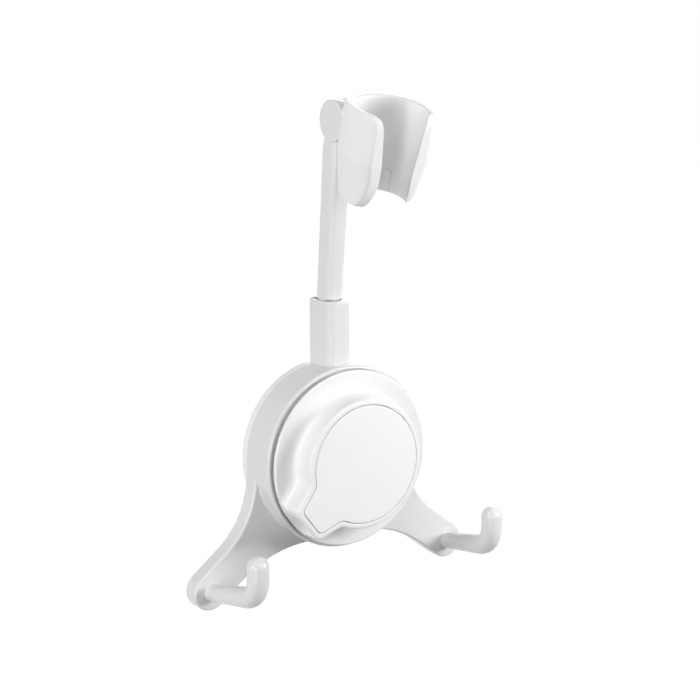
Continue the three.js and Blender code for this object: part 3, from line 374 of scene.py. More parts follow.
def finished(piece: bpy.types.Object, angle: float = 30.0) -> bpy.types.Object:
    """Merges doubles and gives a solid even, smooth shading with its true edges kept.

    Args:
        piece: The solid.
        angle: Edges that bend more than this stay sharp, in degrees.

    Returns:
        The piece.
    """
    form = bmesh.new()
    form.from_mesh(piece.data)
    bmesh.ops.remove_doubles(form, verts=form.verts, dist=WELD)
    bmesh.ops.dissolve_degenerate(form, edges=form.edges, dist=WELD)
    form.to_mesh(piece.data)
    form.free()
    piece.data.shade_smooth()
    piece.data.set_sharp_from_angle(angle=math.radians(angle))
    even = piece.modifiers.new("even", "WEIGHTED_NORMAL")
    even.mode = "FACE_AREA"
    even.weight = 60
    even.keep_sharp = True
    return settle(piece)


class Graph:
    """A node tree that is written one node at a time."""

    def __init__(self, tree: bpy.types.NodeTree) -> None:
        """Keeps the tree and clears what it holds."""
        self.tree = tree
        tree.nodes.clear()

    def node(
        self, kind: str, inputs: dict[str | int, object] | None = None, **settings: object
    ) -> bpy.types.Node:
        """A new node.

        Args:
            kind: The node's type name.
            inputs: A plain value or another node's output for inputs, by name or number.
            **settings: Properties of the node.

        Returns:
            The node.
        """
        made = self.tree.nodes.new(kind)
        for name, value in settings.items():
            setattr(made, name, value)
        for label, value in (inputs or {}).items():
            if isinstance(value, bpy.types.NodeSocket):
                self.tree.links.new(value, made.inputs[label])
            else:
                made.inputs[label].default_value = value
        return made


@dataclass(frozen=True)
class Finish:
    """A moulded or turned surface with slow colour drift, uneven gloss and a fine grain.

    Scales are in waves per metre, and relief is in metres.
    """

    name: str
    colour: Triple
    drift: Triple
    gloss: Pair
    drift_scale: float = 55.0
    drift_span: Pair = (0.2, 0.8)
    smear_ratio: float = 3.0
    smear_span: Pair = (0.3, 0.7)
    grain_scale: float = 1600.0
    relief: float = 0.000004
    wave_scale: float = 45.0
    wave_relief: float = 0.00006
    metal: float = 0.0
    depth_glow: float = 0.0
    glow_depth: float = 0.0015
    glow_reach: Triple = (1.0, 0.95, 0.9)
    refraction: float = 1.5

    def material(self) -> bpy.types.Material:
        """The finish as a node material, made once."""
        found = bpy.data.materials.get(self.name)
        if found:
            return found
        made = bpy.data.materials.new(self.name)
        made.use_nodes = True
        self.write(Graph(made.node_tree))
        return made

    def write(self, graph: Graph) -> None:
        """Writes the finish's nodes.

        Args:
            graph: The material's node tree.
        """
        place = graph.node("ShaderNodeTexCoord").outputs["Object"]
        drift = self.noise(graph, place, self.drift_scale, 1.0)
        tint = graph.node("ShaderNodeValToRGB", {"Fac": drift})
        stops = zip(tint.color_ramp.elements, self.drift_span, (self.drift, self.colour))
        for stop, position, colour in stops:
            stop.position = position
            stop.color = (*colour, 1)
        smear = self.noise(graph, place, self.drift_scale * self.smear_ratio, 2.0)
        ends = ("From Min", "From Max", "To Min", "To Max")
        spans = dict(zip(ends, (*self.smear_span, *self.gloss)))
        gloss = graph.node("ShaderNodeMapRange", {"Value": smear, **spans})
        wave = self.noise(graph, place, self.wave_scale, 1.0)
        waved = {"Strength": 1.0, "Distance": self.wave_relief, "Height": wave}
        low = graph.node("ShaderNodeBump", waved).outputs["Normal"]
        grain = self.noise(graph, place, self.grain_scale, 2.0)
        grained = {"Strength": 1.0, "Distance": self.relief, "Height": grain, "Normal": low}
        high = graph.node("ShaderNodeBump", grained).outputs["Normal"]
        shader = graph.node(
            "ShaderNodeBsdfPrincipled",
            {
                "Base Color": tint.outputs["Color"],
                "Roughness": gloss.outputs["Result"],
                "Normal": high,
                "Metallic": self.metal,
                "IOR": self.refraction,
                "Subsurface Weight": self.depth_glow,
                "Subsurface Radius": self.glow_reach,
                "Subsurface Scale": self.glow_depth,
            },
        )
        graph.node("ShaderNodeOutputMaterial", {"Surface": shader.outputs["BSDF"]})

    def noise(
        self, graph: Graph, place: bpy.types.NodeSocket, scale: float, detail: float
    ) -> bpy.types.NodeSocket:
        """A noise that reads the piece's own coordinates."""
        inputs = {"Vector": place, "Scale": scale, "Detail": detail}
        return graph.node("ShaderNodeTexNoise", inputs).outputs["Fac"]


GLOSS_WHITE = Finish(
    "gloss_white_plastic", (0.77, 0.772, 0.772), (0.762, 0.765, 0.766), (0.22, 0.26),
)
# The gloss white again, with its colour raised: the extra whiteness is painted light, standing in for
# the stronger light that falls on the knob and the cradle.
PAINTED_LIGHT_WHITE = Finish(
    "white_plastic_painted_lighter", (0.88, 0.882, 0.882), (0.872, 0.875, 0.876), (0.22, 0.26),
)
# The cover's satin gloss is its own; its colour is lifted above the gloss white as painted light, for
# the brighter light that its front catches.
SATIN_COVER_PAINTED_LIGHT = Finish(
    "satin_cover_painted_lighter", (0.91, 0.912, 0.912), (0.902, 0.905, 0.906), (0.32, 0.35),
)
ACETAL = Finish(
    "milky_acetal", (0.8, 0.785, 0.74), (0.76, 0.745, 0.7), (0.38, 0.5), depth_glow=0.2, relief=0.00003,
)
GREY_PLASTIC = Finish(
    "grey_fibre_washer", (0.62, 0.63, 0.63), (0.55, 0.56, 0.565), (0.5, 0.62), relief=0.00004,
)
SOFT_VINYL = Finish(
    "milky_soft_vinyl", (0.94, 0.945, 0.945), (0.92, 0.925, 0.925), (0.24, 0.34), depth_glow=0.15,
    wave_relief=0.00002, refraction=1.45,
)
DARK_RUBBER = Finish(
    "dark_seal_rubber", (0.035, 0.035, 0.036), (0.02, 0.02, 0.021), (0.6, 0.8), relief=0.00006,
)
PLATED_STEEL = Finish(
    "zinc_plated_steel", (0.66, 0.67, 0.69), (0.56, 0.57, 0.58), (0.22, 0.38), metal=1.0,
    drift_scale=300.0, wave_relief=0.00002,
)
TURNED_BRASS = Finish(
    "turned_brass", (0.72, 0.52, 0.22), (0.6, 0.42, 0.16), (0.24, 0.4), metal=1.0,
    drift_scale=260.0, wave_relief=0.00002,
)


def seated(piece: bpy.types.Object, body: str, finish: Finish, node: str) -> None:
    """Dresses a finished piece and sets it on its body in the frame.

    Args:
        piece: The finished mesh object.
        body: The body that carries it.
        finish: The surface.
        node: The CAD node that it stands for.
    """
    piece.data.materials.clear()
    piece.data.materials.append(finish.material())
    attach(piece, body)
    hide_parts(node)
    LOG.info("%s on %s: %d faces", piece.name, body, len(piece.data.polygons))


class NodeTool:
    """A Geometry Nodes tree with named inputs, run once on an object and made plain mesh."""

    name = "tool"
    inputs: dict[str, str] = {}

    def tree(self) -> bpy.types.NodeTree:
        """The tree, made once."""
        found = bpy.data.node_groups.get(self.name)
        if found:
            return found
        made = bpy.data.node_groups.new(self.name, "GeometryNodeTree")
        made.interface.new_socket("Geometry", in_out="INPUT", socket_type="NodeSocketGeometry")
        made.interface.new_socket("Geometry", in_out="OUTPUT", socket_type="NodeSocketGeometry")
        for label, kind in self.inputs.items():
            made.interface.new_socket(label, in_out="INPUT", socket_type="NodeSocket" + kind)
        self.write(Graph(made))
        return made

    def write(self, graph: Graph) -> None:
        """Writes the tree's nodes."""
        raise NotImplementedError

    def close(self, graph: Graph, entry: bpy.types.Node, shape: bpy.types.NodeSocket) -> None:
        """Ends a tree: instances made real, smooth shading, and the finish set.

        Args:
            graph: The tree.
            entry: The group's input node.
            shape: The geometry to hand out.
        """
        real = graph.node("GeometryNodeRealizeInstances", {"Geometry": shape})
        soft = graph.node("GeometryNodeSetShadeSmooth", {"Geometry": real.outputs["Geometry"]})
        dressed = {"Geometry": soft.outputs["Geometry"], "Material": entry.outputs["Finish"]}
        paint = graph.node("GeometryNodeSetMaterial", dressed)
        graph.node("NodeGroupOutput", {"Geometry": paint.outputs["Geometry"]})

    def run(self, name: str, source: bpy.types.ID, values: dict[str, object]) -> bpy.types.Object:
        """Runs the tree on some curve or mesh data.

        Args:
            name: Name of the new object.
            source: The curve or mesh that the tree reads.
            values: A value for each named input.

        Returns:
            A plain mesh object.
        """
        tree = self.tree()
        host = linked(name + "_path", source)
        step = host.modifiers.new("nodes", "NODES")
        step.node_group = tree
        for item in tree.interface.items_tree:
            if item.in_out == "INPUT" and item.name in values:
                step[item.identifier] = values[item.name]
        graph = bpy.context.evaluated_depsgraph_get()
        mesh = bpy.data.meshes.new_from_object(host.evaluated_get(graph), depsgraph=graph)
        bpy.data.objects.remove(host)
        return linked(name, mesh)


class RodAlongPath(NodeTool):
    """Sweeps a round section, as wide as the path says at each point, along a path."""

    name = "rod_along_path"
    inputs = {"Sides": "Int", "Finish": "Material"}

    def write(self, graph: Graph) -> None:
        """Writes the tree's nodes."""
        entry = graph.node("NodeGroupInput")
        width = graph.node("GeometryNodeInputRadius")
        round_section = {"Resolution": entry.outputs["Sides"], "Radius": 1.0}
        ring = graph.node("GeometryNodeCurvePrimitiveCircle", round_section, mode="RADIUS")
        sweep = graph.node(
            "GeometryNodeCurveToMesh",
            {
                "Curve": entry.outputs["Geometry"],
                "Profile Curve": ring.outputs["Curve"],
                "Scale": width.outputs["Radius"],
                "Fill Caps": True,
            },
        )
        self.close(graph, entry, sweep.outputs["Mesh"])


class RibsRoundAxis(NodeTool):
    """Sets equal flat ribs round the drum's axis, each turned and moved out by its number."""

    name = "ribs_round_axis"
    inputs = {
        "Count": "Int",
        "Reach": "Float",
        "Reach Step": "Float",
        "Angle": "Float",
        "Angle Step": "Float",
        "Front": "Float",
        "Size": "Vector",
        "Finish": "Material",
    }

    def write(self, graph: Graph) -> None:
        """Writes the tree's nodes."""
        entry = graph.node("NodeGroupInput")
        number = graph.node("GeometryNodeInputIndex")
        reach = self.step(graph, entry, number, "Reach")
        angle = self.step(graph, entry, number, "Angle")
        depth = graph.node("ShaderNodeMath", {0: entry.outputs["Front"], 1: -1.0}, operation="MULTIPLY")
        spot = graph.node("ShaderNodeCombineXYZ", {"X": reach, "Y": depth.outputs["Value"]})
        turn = {"Axis": (0, -1, 0), "Angle": angle}
        swung = {"Vector": spot.outputs["Vector"], **turn}
        swing = graph.node("ShaderNodeVectorRotate", swung, rotation_type="AXIS_ANGLE")
        facing = graph.node("FunctionNodeAxisAngleToRotation", turn)
        placed = {"Count": entry.outputs["Count"], "Position": swing.outputs["Vector"]}
        spots = graph.node("GeometryNodePoints", placed)
        rib = graph.node("GeometryNodeMeshCube", {"Size": entry.outputs["Size"]})
        copies = graph.node(
            "GeometryNodeInstanceOnPoints",
            {
                "Points": spots.outputs["Points"],
                "Instance": rib.outputs["Mesh"],
                "Rotation": facing.outputs["Rotation"],
            },
        )
        self.close(graph, entry, copies.outputs["Instances"])

    def step(
        self, graph: Graph, entry: bpy.types.Node, number: bpy.types.Node, label: str
    ) -> bpy.types.NodeSocket:
        """A value that grows by one step with each rib's number."""
        terms = (number.outputs["Index"], entry.outputs[label + " Step"], entry.outputs[label])
        grow = graph.node("ShaderNodeMath", dict(enumerate(terms)), operation="MULTIPLY_ADD")
        return grow.outputs["Value"]


@dataclass(frozen=True)
class RibSet:
    """Equal ribs round the drum's axis, in millimetres and degrees."""

    name: str
    count: int
    reach: float
    angle: float
    front: float
    size: Triple
    reach_step: float = 0.0
    angle_step: float = 0.0

    def build(self) -> bpy.types.Object:
        """The ribs as one plain mesh object."""
        values = {
            "Count": self.count,
            "Reach": self.reach * MM,
            "Reach Step": self.reach_step * MM,
            "Angle": math.radians(self.angle),
            "Angle Step": math.radians(self.angle_step),
            "Front": self.front * MM,
            "Size": tuple(side * MM for side in self.size),
        }
        return RibsRoundAxis().run(self.name, bpy.data.meshes.new(self.name), values)


class ThreadRoundShank(NodeTool):
    """Winds a small ridge round a shank as a screw thread."""

    name = "thread_round_shank"
    inputs = {
        "Turns": "Float",
        "Radius": "Float",
        "Length": "Float",
        "Ridge": "Float",
        "Finish": "Material",
    }
    steps_in_turn = 24
    ridge_sides = 6

    def write(self, graph: Graph) -> None:
        """Writes the tree's nodes."""
        entry = graph.node("NodeGroupInput")
        helix = graph.node(
            "GeometryNodeCurveSpiral",
            {
                "Resolution": self.steps_in_turn,
                "Rotations": entry.outputs["Turns"],
                "Start Radius": entry.outputs["Radius"],
                "End Radius": entry.outputs["Radius"],
                "Height": entry.outputs["Length"],
            },
        )
        section = {"Resolution": self.ridge_sides, "Radius": entry.outputs["Ridge"]}
        ridge = graph.node("GeometryNodeCurvePrimitiveCircle", section, mode="RADIUS")
        sweep = graph.node(
            "GeometryNodeCurveToMesh",
            {
                "Curve": helix.outputs["Curve"],
                "Profile Curve": ridge.outputs["Curve"],
                "Fill Caps": True,
            },
        )
        self.close(graph, entry, sweep.outputs["Mesh"])

    def wind(self, turns: float, radius: float, length: float, ridge: float) -> bpy.types.Object:
        """A steel ridge wound up from the origin, with its sizes in millimetres."""
        values = {
            "Turns": turns,
            "Radius": radius * MM,
            "Length": length * MM,
            "Ridge": ridge * MM,
            "Finish": PLATED_STEEL.material(),
        }
        return self.run("thread", bpy.data.meshes.new("thread"), values)


@dataclass
class Bracket:
    """Drum, legs and socket in one moulding, with the hooks and their screws."""

    back: float = 4.9
    front: float = 24.9
    back_radius: float = 41.2
    front_radius: float = 42.4
    cavity_radius: float = 38.2
    rim_round: float = 1.6
    rim_inner: float = 40.9
    rim_floor: float = 23.4
    web_back: float = 19.0
    web_front: float = 21.5
    hub_radius: float = 9.77
    hub_back: float = 14.0
    key_half: float = 5.3
    key_corner: float = 0.4
    web_rib_count: int = 6
    web_rib_depth: float = 5.0
    web_rib_width: float = 1.8
    leg_angle: float = 38.0
    leg_reach: float = 85.4
    leg_drop: float = 3.2
    leg_half: float = 8.5
    leg_front: float = 13.1
    leg_round: float = 1.2
    leg_wall: float = 2.2
    leg_edge: float = 0.3
    leg_flare: float = 20.0
    leg_steps: int = 28
    leg_room: float = 0.4
    leg_bury: float = 1.5
    leg_rib_pitch: float = 11.0
    leg_rib_front: float = 12.1
    leg_rib_size: Triple = (1.6, 10.0, 72.0)
    boss_radius: float = 6.24
    boss_back: float = 7.0
    socket_half: float = 3.0
    socket_corner: float = 1.5
    socket_back: float = 8.6
    screw_hole: float = 1.6
    sleeve_half: float = 6.4
    sleeve_back: float = 1.4
    sleeve_depth: float = 18.6
    sleeve_foot: float = 39.2
    sleeve_top: float = 70.7
    sleeve_corner: float = 3.8
    sleeve_round: float = 1.0
    sleeve_wall: float = 1.4
    mouth_floor: float = 67.8
    mouth_corner: float = 1.0
    mouth_flare: tuple[Pair, ...] = ((0.0, -0.3), (0.1, -0.05), (0.25, 0.1), (0.25, 2.0))
    bore_radius: float = 5.0
    bore_floor: float = 41.4
    swivel_front: float = SWIVEL_FRONT
    clip_half: float = 5.0
    clip_reach: float = 3.4
    clip_low: float = 45.6
    clip_high: float = 47.8

    def leg_tip(self, side: Side) -> Pair:
        """The centre of a leg's round end, as (across, height)."""
        turn = math.radians(self.leg_angle)
        across = self.leg_reach * math.cos(turn) - self.leg_drop * math.sin(turn)
        height = -self.leg_reach * math.sin(turn) - self.leg_drop * math.cos(turn)
        return side.value * across, height

    def leg_outline(self, inset: float) -> list[Pair]:
        """Both legs in one outline, with the arch between them.

        Args:
            inset: How far the outline is drawn in.

        Returns:
            Points as (across, height).
        """
        turn = math.radians(self.leg_angle)
        along = np.array((math.cos(turn), -math.sin(turn)))
        outward = np.array((math.sin(turn), math.cos(turn)))
        half = self.leg_half - inset
        flank = self.back_radius - inset
        upper = outward * (half - self.leg_drop)
        lower = outward * (-half - self.leg_drop)
        upper_corner = upper + along * ((flank - upper[0]) / along[0])
        lower_corner = lower + along * ((-flank - lower[1]) / along[1])
        upper_run = upper_corner + along * self.leg_flare
        lower_run = lower_corner + along * self.leg_flare
        tip = self.leg_tip(Side.RIGHT)
        start = 90 - self.leg_angle
        foot = (lower_corner[0] - self.leg_flare, -flank)
        right = [(0.0, 0.0)]
        right += bend((flank, 0.0), upper_corner, upper_run, self.leg_steps)
        right += arc(tip, half, start, start - 180, self.leg_steps)
        right += bend(lower_run, lower_corner, foot, self.leg_steps)
        right.append((0.0, -flank))
        left = [(-a, b) for a, b in right[-2:0:-1]]
        return right + left

    def legs(self) -> bpy.types.Object:
        """Both legs, round at the front edge and hollow behind, with stiffening ribs."""
        rings = [laid(self.leg_outline(self.leg_edge), Axis.FRONT, self.back)]
        rings.append(laid(self.leg_outline(0), Axis.FRONT, self.back + self.leg_edge))
        for left, inset in quarter(self.leg_round, 8):
            rings.append(laid(self.leg_outline(inset), Axis.FRONT, self.leg_front - left))
        body = loft(rings).to_object("legs")
        pocket = slab(self.leg_outline(self.leg_wall), Axis.FRONT, 0, self.leg_front - self.leg_wall)
        hollow = pocket.to_object("pocket")
        room = rod(self.front_radius + self.leg_room, BEHIND, PAST)
        work(hollow, Joining.TAKE, lathe(room, Axis.FRONT))
        for side in Side:
            across, height = self.leg_tip(side)
            boss = lathe(rod(self.boss_radius, self.boss_back, PAST), Axis.FRONT, SMALL_SEGMENTS)
            work(hollow, Joining.TAKE, boss.moved(across, 0, height), self.leg_ribs(side))
        cavity = lathe(rod(self.cavity_radius + self.leg_bury, BEHIND, PAST), Axis.FRONT)
        return work(body, Joining.TAKE, cavity, hollow)

    def leg_ribs(self, side: Side) -> bpy.types.Object:
        """The cross ribs that stiffen a leg's hollow back."""
        turn = -self.leg_angle if side is Side.RIGHT else self.leg_angle - 180
        return RibSet(
            name="leg_ribs",
            count=2,
            reach=self.front_radius + self.leg_rib_pitch,
            reach_step=self.leg_rib_pitch,
            angle=turn,
            front=self.leg_rib_front,
            size=self.leg_rib_size,
        ).build()

    def drum(self) -> Skin:
        """The drum's wall, web and hub as one turned solid."""
        return lathe(
            rounded(
                [
                    (0, self.hub_back, 0),
                    (self.hub_radius, self.hub_back, 0.5),
                    (self.hub_radius, self.web_back, 0.8),
                    (self.cavity_radius, self.web_back, 1.2),
                    (self.cavity_radius, self.back, 0.3),
                    (self.back_radius, self.back, 0.1),
                    (self.front_radius, self.front, self.rim_round),
                    (self.rim_inner, self.front, 0.3),
                    (self.rim_inner, self.rim_floor, 0.3),
                    (self.cavity_radius, self.rim_floor, 0.4),
                    (self.cavity_radius, self.web_front, 0.6),
                    (0, self.web_front, 0),
                ],
                steps=8,
            ),
            Axis.FRONT,
        )

    def web_ribs(self) -> bpy.types.Object:
        """The ribs behind the web, from the hub to the drum's wall."""
        inner, outer = self.hub_radius - 0.5, self.cavity_radius + 1.0
        pitch = 360 / self.web_rib_count
        return RibSet(
            name="web_ribs",
            count=self.web_rib_count,
            reach=(inner + outer) / 2,
            angle=pitch / 2,
            angle_step=pitch,
            front=self.web_back - 1.0,
            size=(outer - inner, self.web_rib_depth, self.web_rib_width),
        ).build()

    def sleeve(self) -> bpy.types.Object:
        """The socket that stands on the drum, with a round top edge, clear of the pad behind."""
        half_depth = self.sleeve_depth / 2
        levels = [(0.0, self.sleeve_foot), (0.0, self.sleeve_top - self.sleeve_round)]
        rim = quarter(self.sleeve_round, 8)[1:]
        levels += [(inset, self.sleeve_top - left) for left, inset in rim]
        rings = []
        for inset, height in levels:
            plan = oblong(self.sleeve_half - inset, half_depth - inset, self.sleeve_corner - inset / 2)
            rings.append(laid(shifted(plan, 0, self.swivel_front), Axis.UPRIGHT, height))
        made = loft(rings).to_object("sleeve")
        return work(made, Joining.TAKE, lathe(rod(self.back_radius, BEHIND, self.back), Axis.FRONT))

    def mouth(self) -> list[Skin]:
        """The round bore in the socket and the rectangular recess at its mouth."""
        profile = rod(self.bore_radius, self.bore_floor, self.mouth_floor + 0.5)
        bore = lathe(profile, Axis.UPRIGHT, MIDDLE_SEGMENTS).moved(front=self.swivel_front)
        half = self.sleeve_half - self.sleeve_wall
        back, front = self.sleeve_back + self.sleeve_wall, self.swivel_front + self.bore_radius
        half_depth, middle = (front - back) / 2, (front + back) / 2
        levels = [(0.0, self.mouth_floor)]
        levels += [(grow, self.sleeve_top + rise) for grow, rise in self.mouth_flare]
        rings = []
        for grow, height in levels:
            plan = oblong(half + grow, half_depth + grow, self.mouth_corner)
            rings.append(laid(shifted(plan, 0, middle), Axis.UPRIGHT, height))
        return [bore, loft(rings)]

    def hook_socket(self, side: Side) -> list[Skin]:
        """The keyed hole for a hook's peg and the hole for its screw."""
        across, height = self.leg_tip(side)
        plan = oblong(self.socket_half, self.socket_half, self.socket_corner)
        key = slab(plan, Axis.FRONT, self.socket_back, self.leg_front + 2)
        hole = lathe(rod(self.screw_hole, 0, self.leg_front - 1), Axis.FRONT, SMALL_SEGMENTS)
        return [tool.moved(across, 0, height) for tool in (key, hole)]

    def clip_slot(self) -> Skin:
        """The slot behind the socket that the swivel's clip is pushed into."""
        half, far = self.clip_half, self.swivel_front + self.clip_reach
        plan = [(-half, BEHIND), (half, BEHIND), (half, far), (-half, far)]
        return slab(plan, Axis.UPRIGHT, self.clip_low, self.clip_high)

    def build(self) -> None:
        """Makes and seats the moulding, the hooks and the screws."""
        shell = self.legs()
        shell.name = "bracket_shell"
        work(shell, Joining.ADD, self.drum(), self.sleeve(), self.web_ribs())
        key = slab(oblong(self.key_half, self.key_half, self.key_corner), Axis.FRONT, 0, PAST)
        work(shell, Joining.TAKE, key, *self.mouth(), self.clip_slot())
        for side in Side:
            work(shell, Joining.TAKE, *self.hook_socket(side))
        seated(finished(shell), "bracket", GLOSS_WHITE, "bracket_body")
        for side in Side:
            Hook(side, self.leg_tip(side)).build()


@dataclass
class Hook:
    """An upturned hook on a leg's end, and the screw that holds it from behind."""

    side: Side
    spot: Pair
    root: float = 13.15
    reach: float = 37.55
    slope: float = 12.0
    turn: float = 10.0
    rise: float = 27.0
    root_radius: float = 3.8
    tip_radius: float = 4.9
    swell: float = 1.4
    run_steps: int = 20
    turn_steps: int = 24
    post_steps: int = 8
    tip_steps: int = 13
    tip_end: float = 0.02
    sides: int = 40
    lean: float = 1.9
    peg_half: float = 2.7
    peg_corner: float = 1.3
    peg_back: float = 8.9
    peg_bury: float = 1.5
    pilot_radius: float = 1.6
    pilot_end: float = 12.4
    screw_radius: float = 1.3
    screw_bite: float = 3.2
    head_radius: float = 2.8
    head_height: float = 1.6
    head_seat: float = 6.7
    recess_half: Pair = (1.5, 0.33)
    recess_floor: float = 0.55
    thread_pitch: float = 0.8
    thread_ridge: float = 0.16

    def path(self) -> list[tuple[float, float, float, float]]:
        """The hook's centre line.

        Returns:
            Rows of (across, front, height, radius) in millimetres.
        """
        climb = math.tan(math.radians(self.slope))
        post = self.root + self.reach
        fronts = np.linspace(self.root, post - self.turn, self.run_steps)
        line = [(front, (front - self.root) * climb) for front in fronts]
        corner = (post, self.reach * climb)
        line += bend(line[-1], corner, (post, corner[1] + self.turn), self.turn_steps)[1:]
        top = self.rise - self.tip_radius
        heights = np.linspace(line[-1][1], top, self.post_steps)
        line += [(post, height) for height in heights[1:]]
        steps = np.linalg.norm(np.diff(np.array(line), axis=0), axis=1)
        shares = np.concatenate([[0], np.cumsum(steps)]) / steps.sum()
        grow = self.tip_radius - self.root_radius
        widths = self.root_radius + grow * np.minimum(1, shares * self.swell)
        rows = [(a, b, float(width)) for (a, b), width in zip(line, widths)]
        for turn in np.radians(np.linspace(0, 90, self.tip_steps + 1)[1:]):
            width = max(self.tip_radius * math.cos(turn), self.tip_end)
            rows.append((post, top + self.tip_radius * math.sin(turn), width))
        placed = []
        for front, height, width in rows:
            lean = (front - self.root) / self.reach * self.lean
            across = self.spot[0] - self.side.value * lean
            placed.append((across, front, self.spot[1] + height, width))
        return placed

    def rod(self) -> bpy.types.Object:
        """The hook itself, swept along its centre line, with its peg."""
        curve = bpy.data.curves.new(self.side.label + "_hook_line", "CURVE")
        curve.dimensions = "3D"
        line = curve.splines.new("POLY")
        rows = self.path()
        line.points.add(len(rows) - 1)
        for point, (across, front, height, width) in zip(line.points, rows):
            point.co = (across * MM, -front * MM, height * MM, 1)
            point.radius = width * MM
        values = {"Sides": self.sides, "Finish": GLOSS_WHITE.material()}
        made = RodAlongPath().run(self.side.label + "_hook_rod", curve, values)
        plan = oblong(self.peg_half, self.peg_half, self.peg_corner)
        peg = slab(plan, Axis.FRONT, self.peg_back, self.root + self.peg_bury)
        pilot = lathe(rod(self.pilot_radius, 0, self.pilot_end), Axis.FRONT, SMALL_SEGMENTS)
        work(made, Joining.ADD, peg.moved(self.spot[0], 0, self.spot[1]))
        work(made, Joining.TAKE, pilot.moved(self.spot[0], 0, self.spot[1]))
        return finished(made)

    def screw(self) -> bpy.types.Object:
        """The pan-head screw with a cross recess and a cut thread."""
        seat, end = self.head_seat, self.peg_back + self.screw_bite
        top = seat - self.head_height
        profile = [
            (0, top, 0),
            (self.head_radius, top, 0.8),
            (self.head_radius, seat, 0.15),
            (self.screw_radius, seat, 0.1),
            (self.screw_radius, end - self.screw_radius, 0.2),
            (0, end, 0),
        ]
        name = self.side.label + "_leg_screw"
        made = lathe(rounded(profile), Axis.FRONT, SMALL_SEGMENTS).to_object(name)
        for half_a, half_b in (self.recess_half, self.recess_half[::-1]):
            plan = oblong(half_a, half_b, 0.1, 2)
            work(made, Joining.TAKE, slab(plan, Axis.FRONT, top - 1, seat - self.recess_floor))
        length = end - seat - 1.0
        thread = ThreadRoundShank().wind(
            length / self.thread_pitch, self.screw_radius, length, self.thread_ridge
        )
        lay = Matrix.Rotation(math.pi / 2, 4, "X")
        thread.data.transform(Matrix.Translation((0, -(seat + 0.3) * MM, 0)) @ lay)
        work(made, Joining.ADD, thread)
        made.data.transform(Matrix.Translation((self.spot[0] * MM, 0, self.spot[1] * MM)))
        return finished(made)

    def build(self) -> None:
        """Makes and seats the hook and its screw."""
        label = self.side.label
        seated(self.rod(), "bracket", GLOSS_WHITE, label + "_hook")
        seated(self.screw(), "bracket", PLATED_STEEL, label + "_hook_screw")


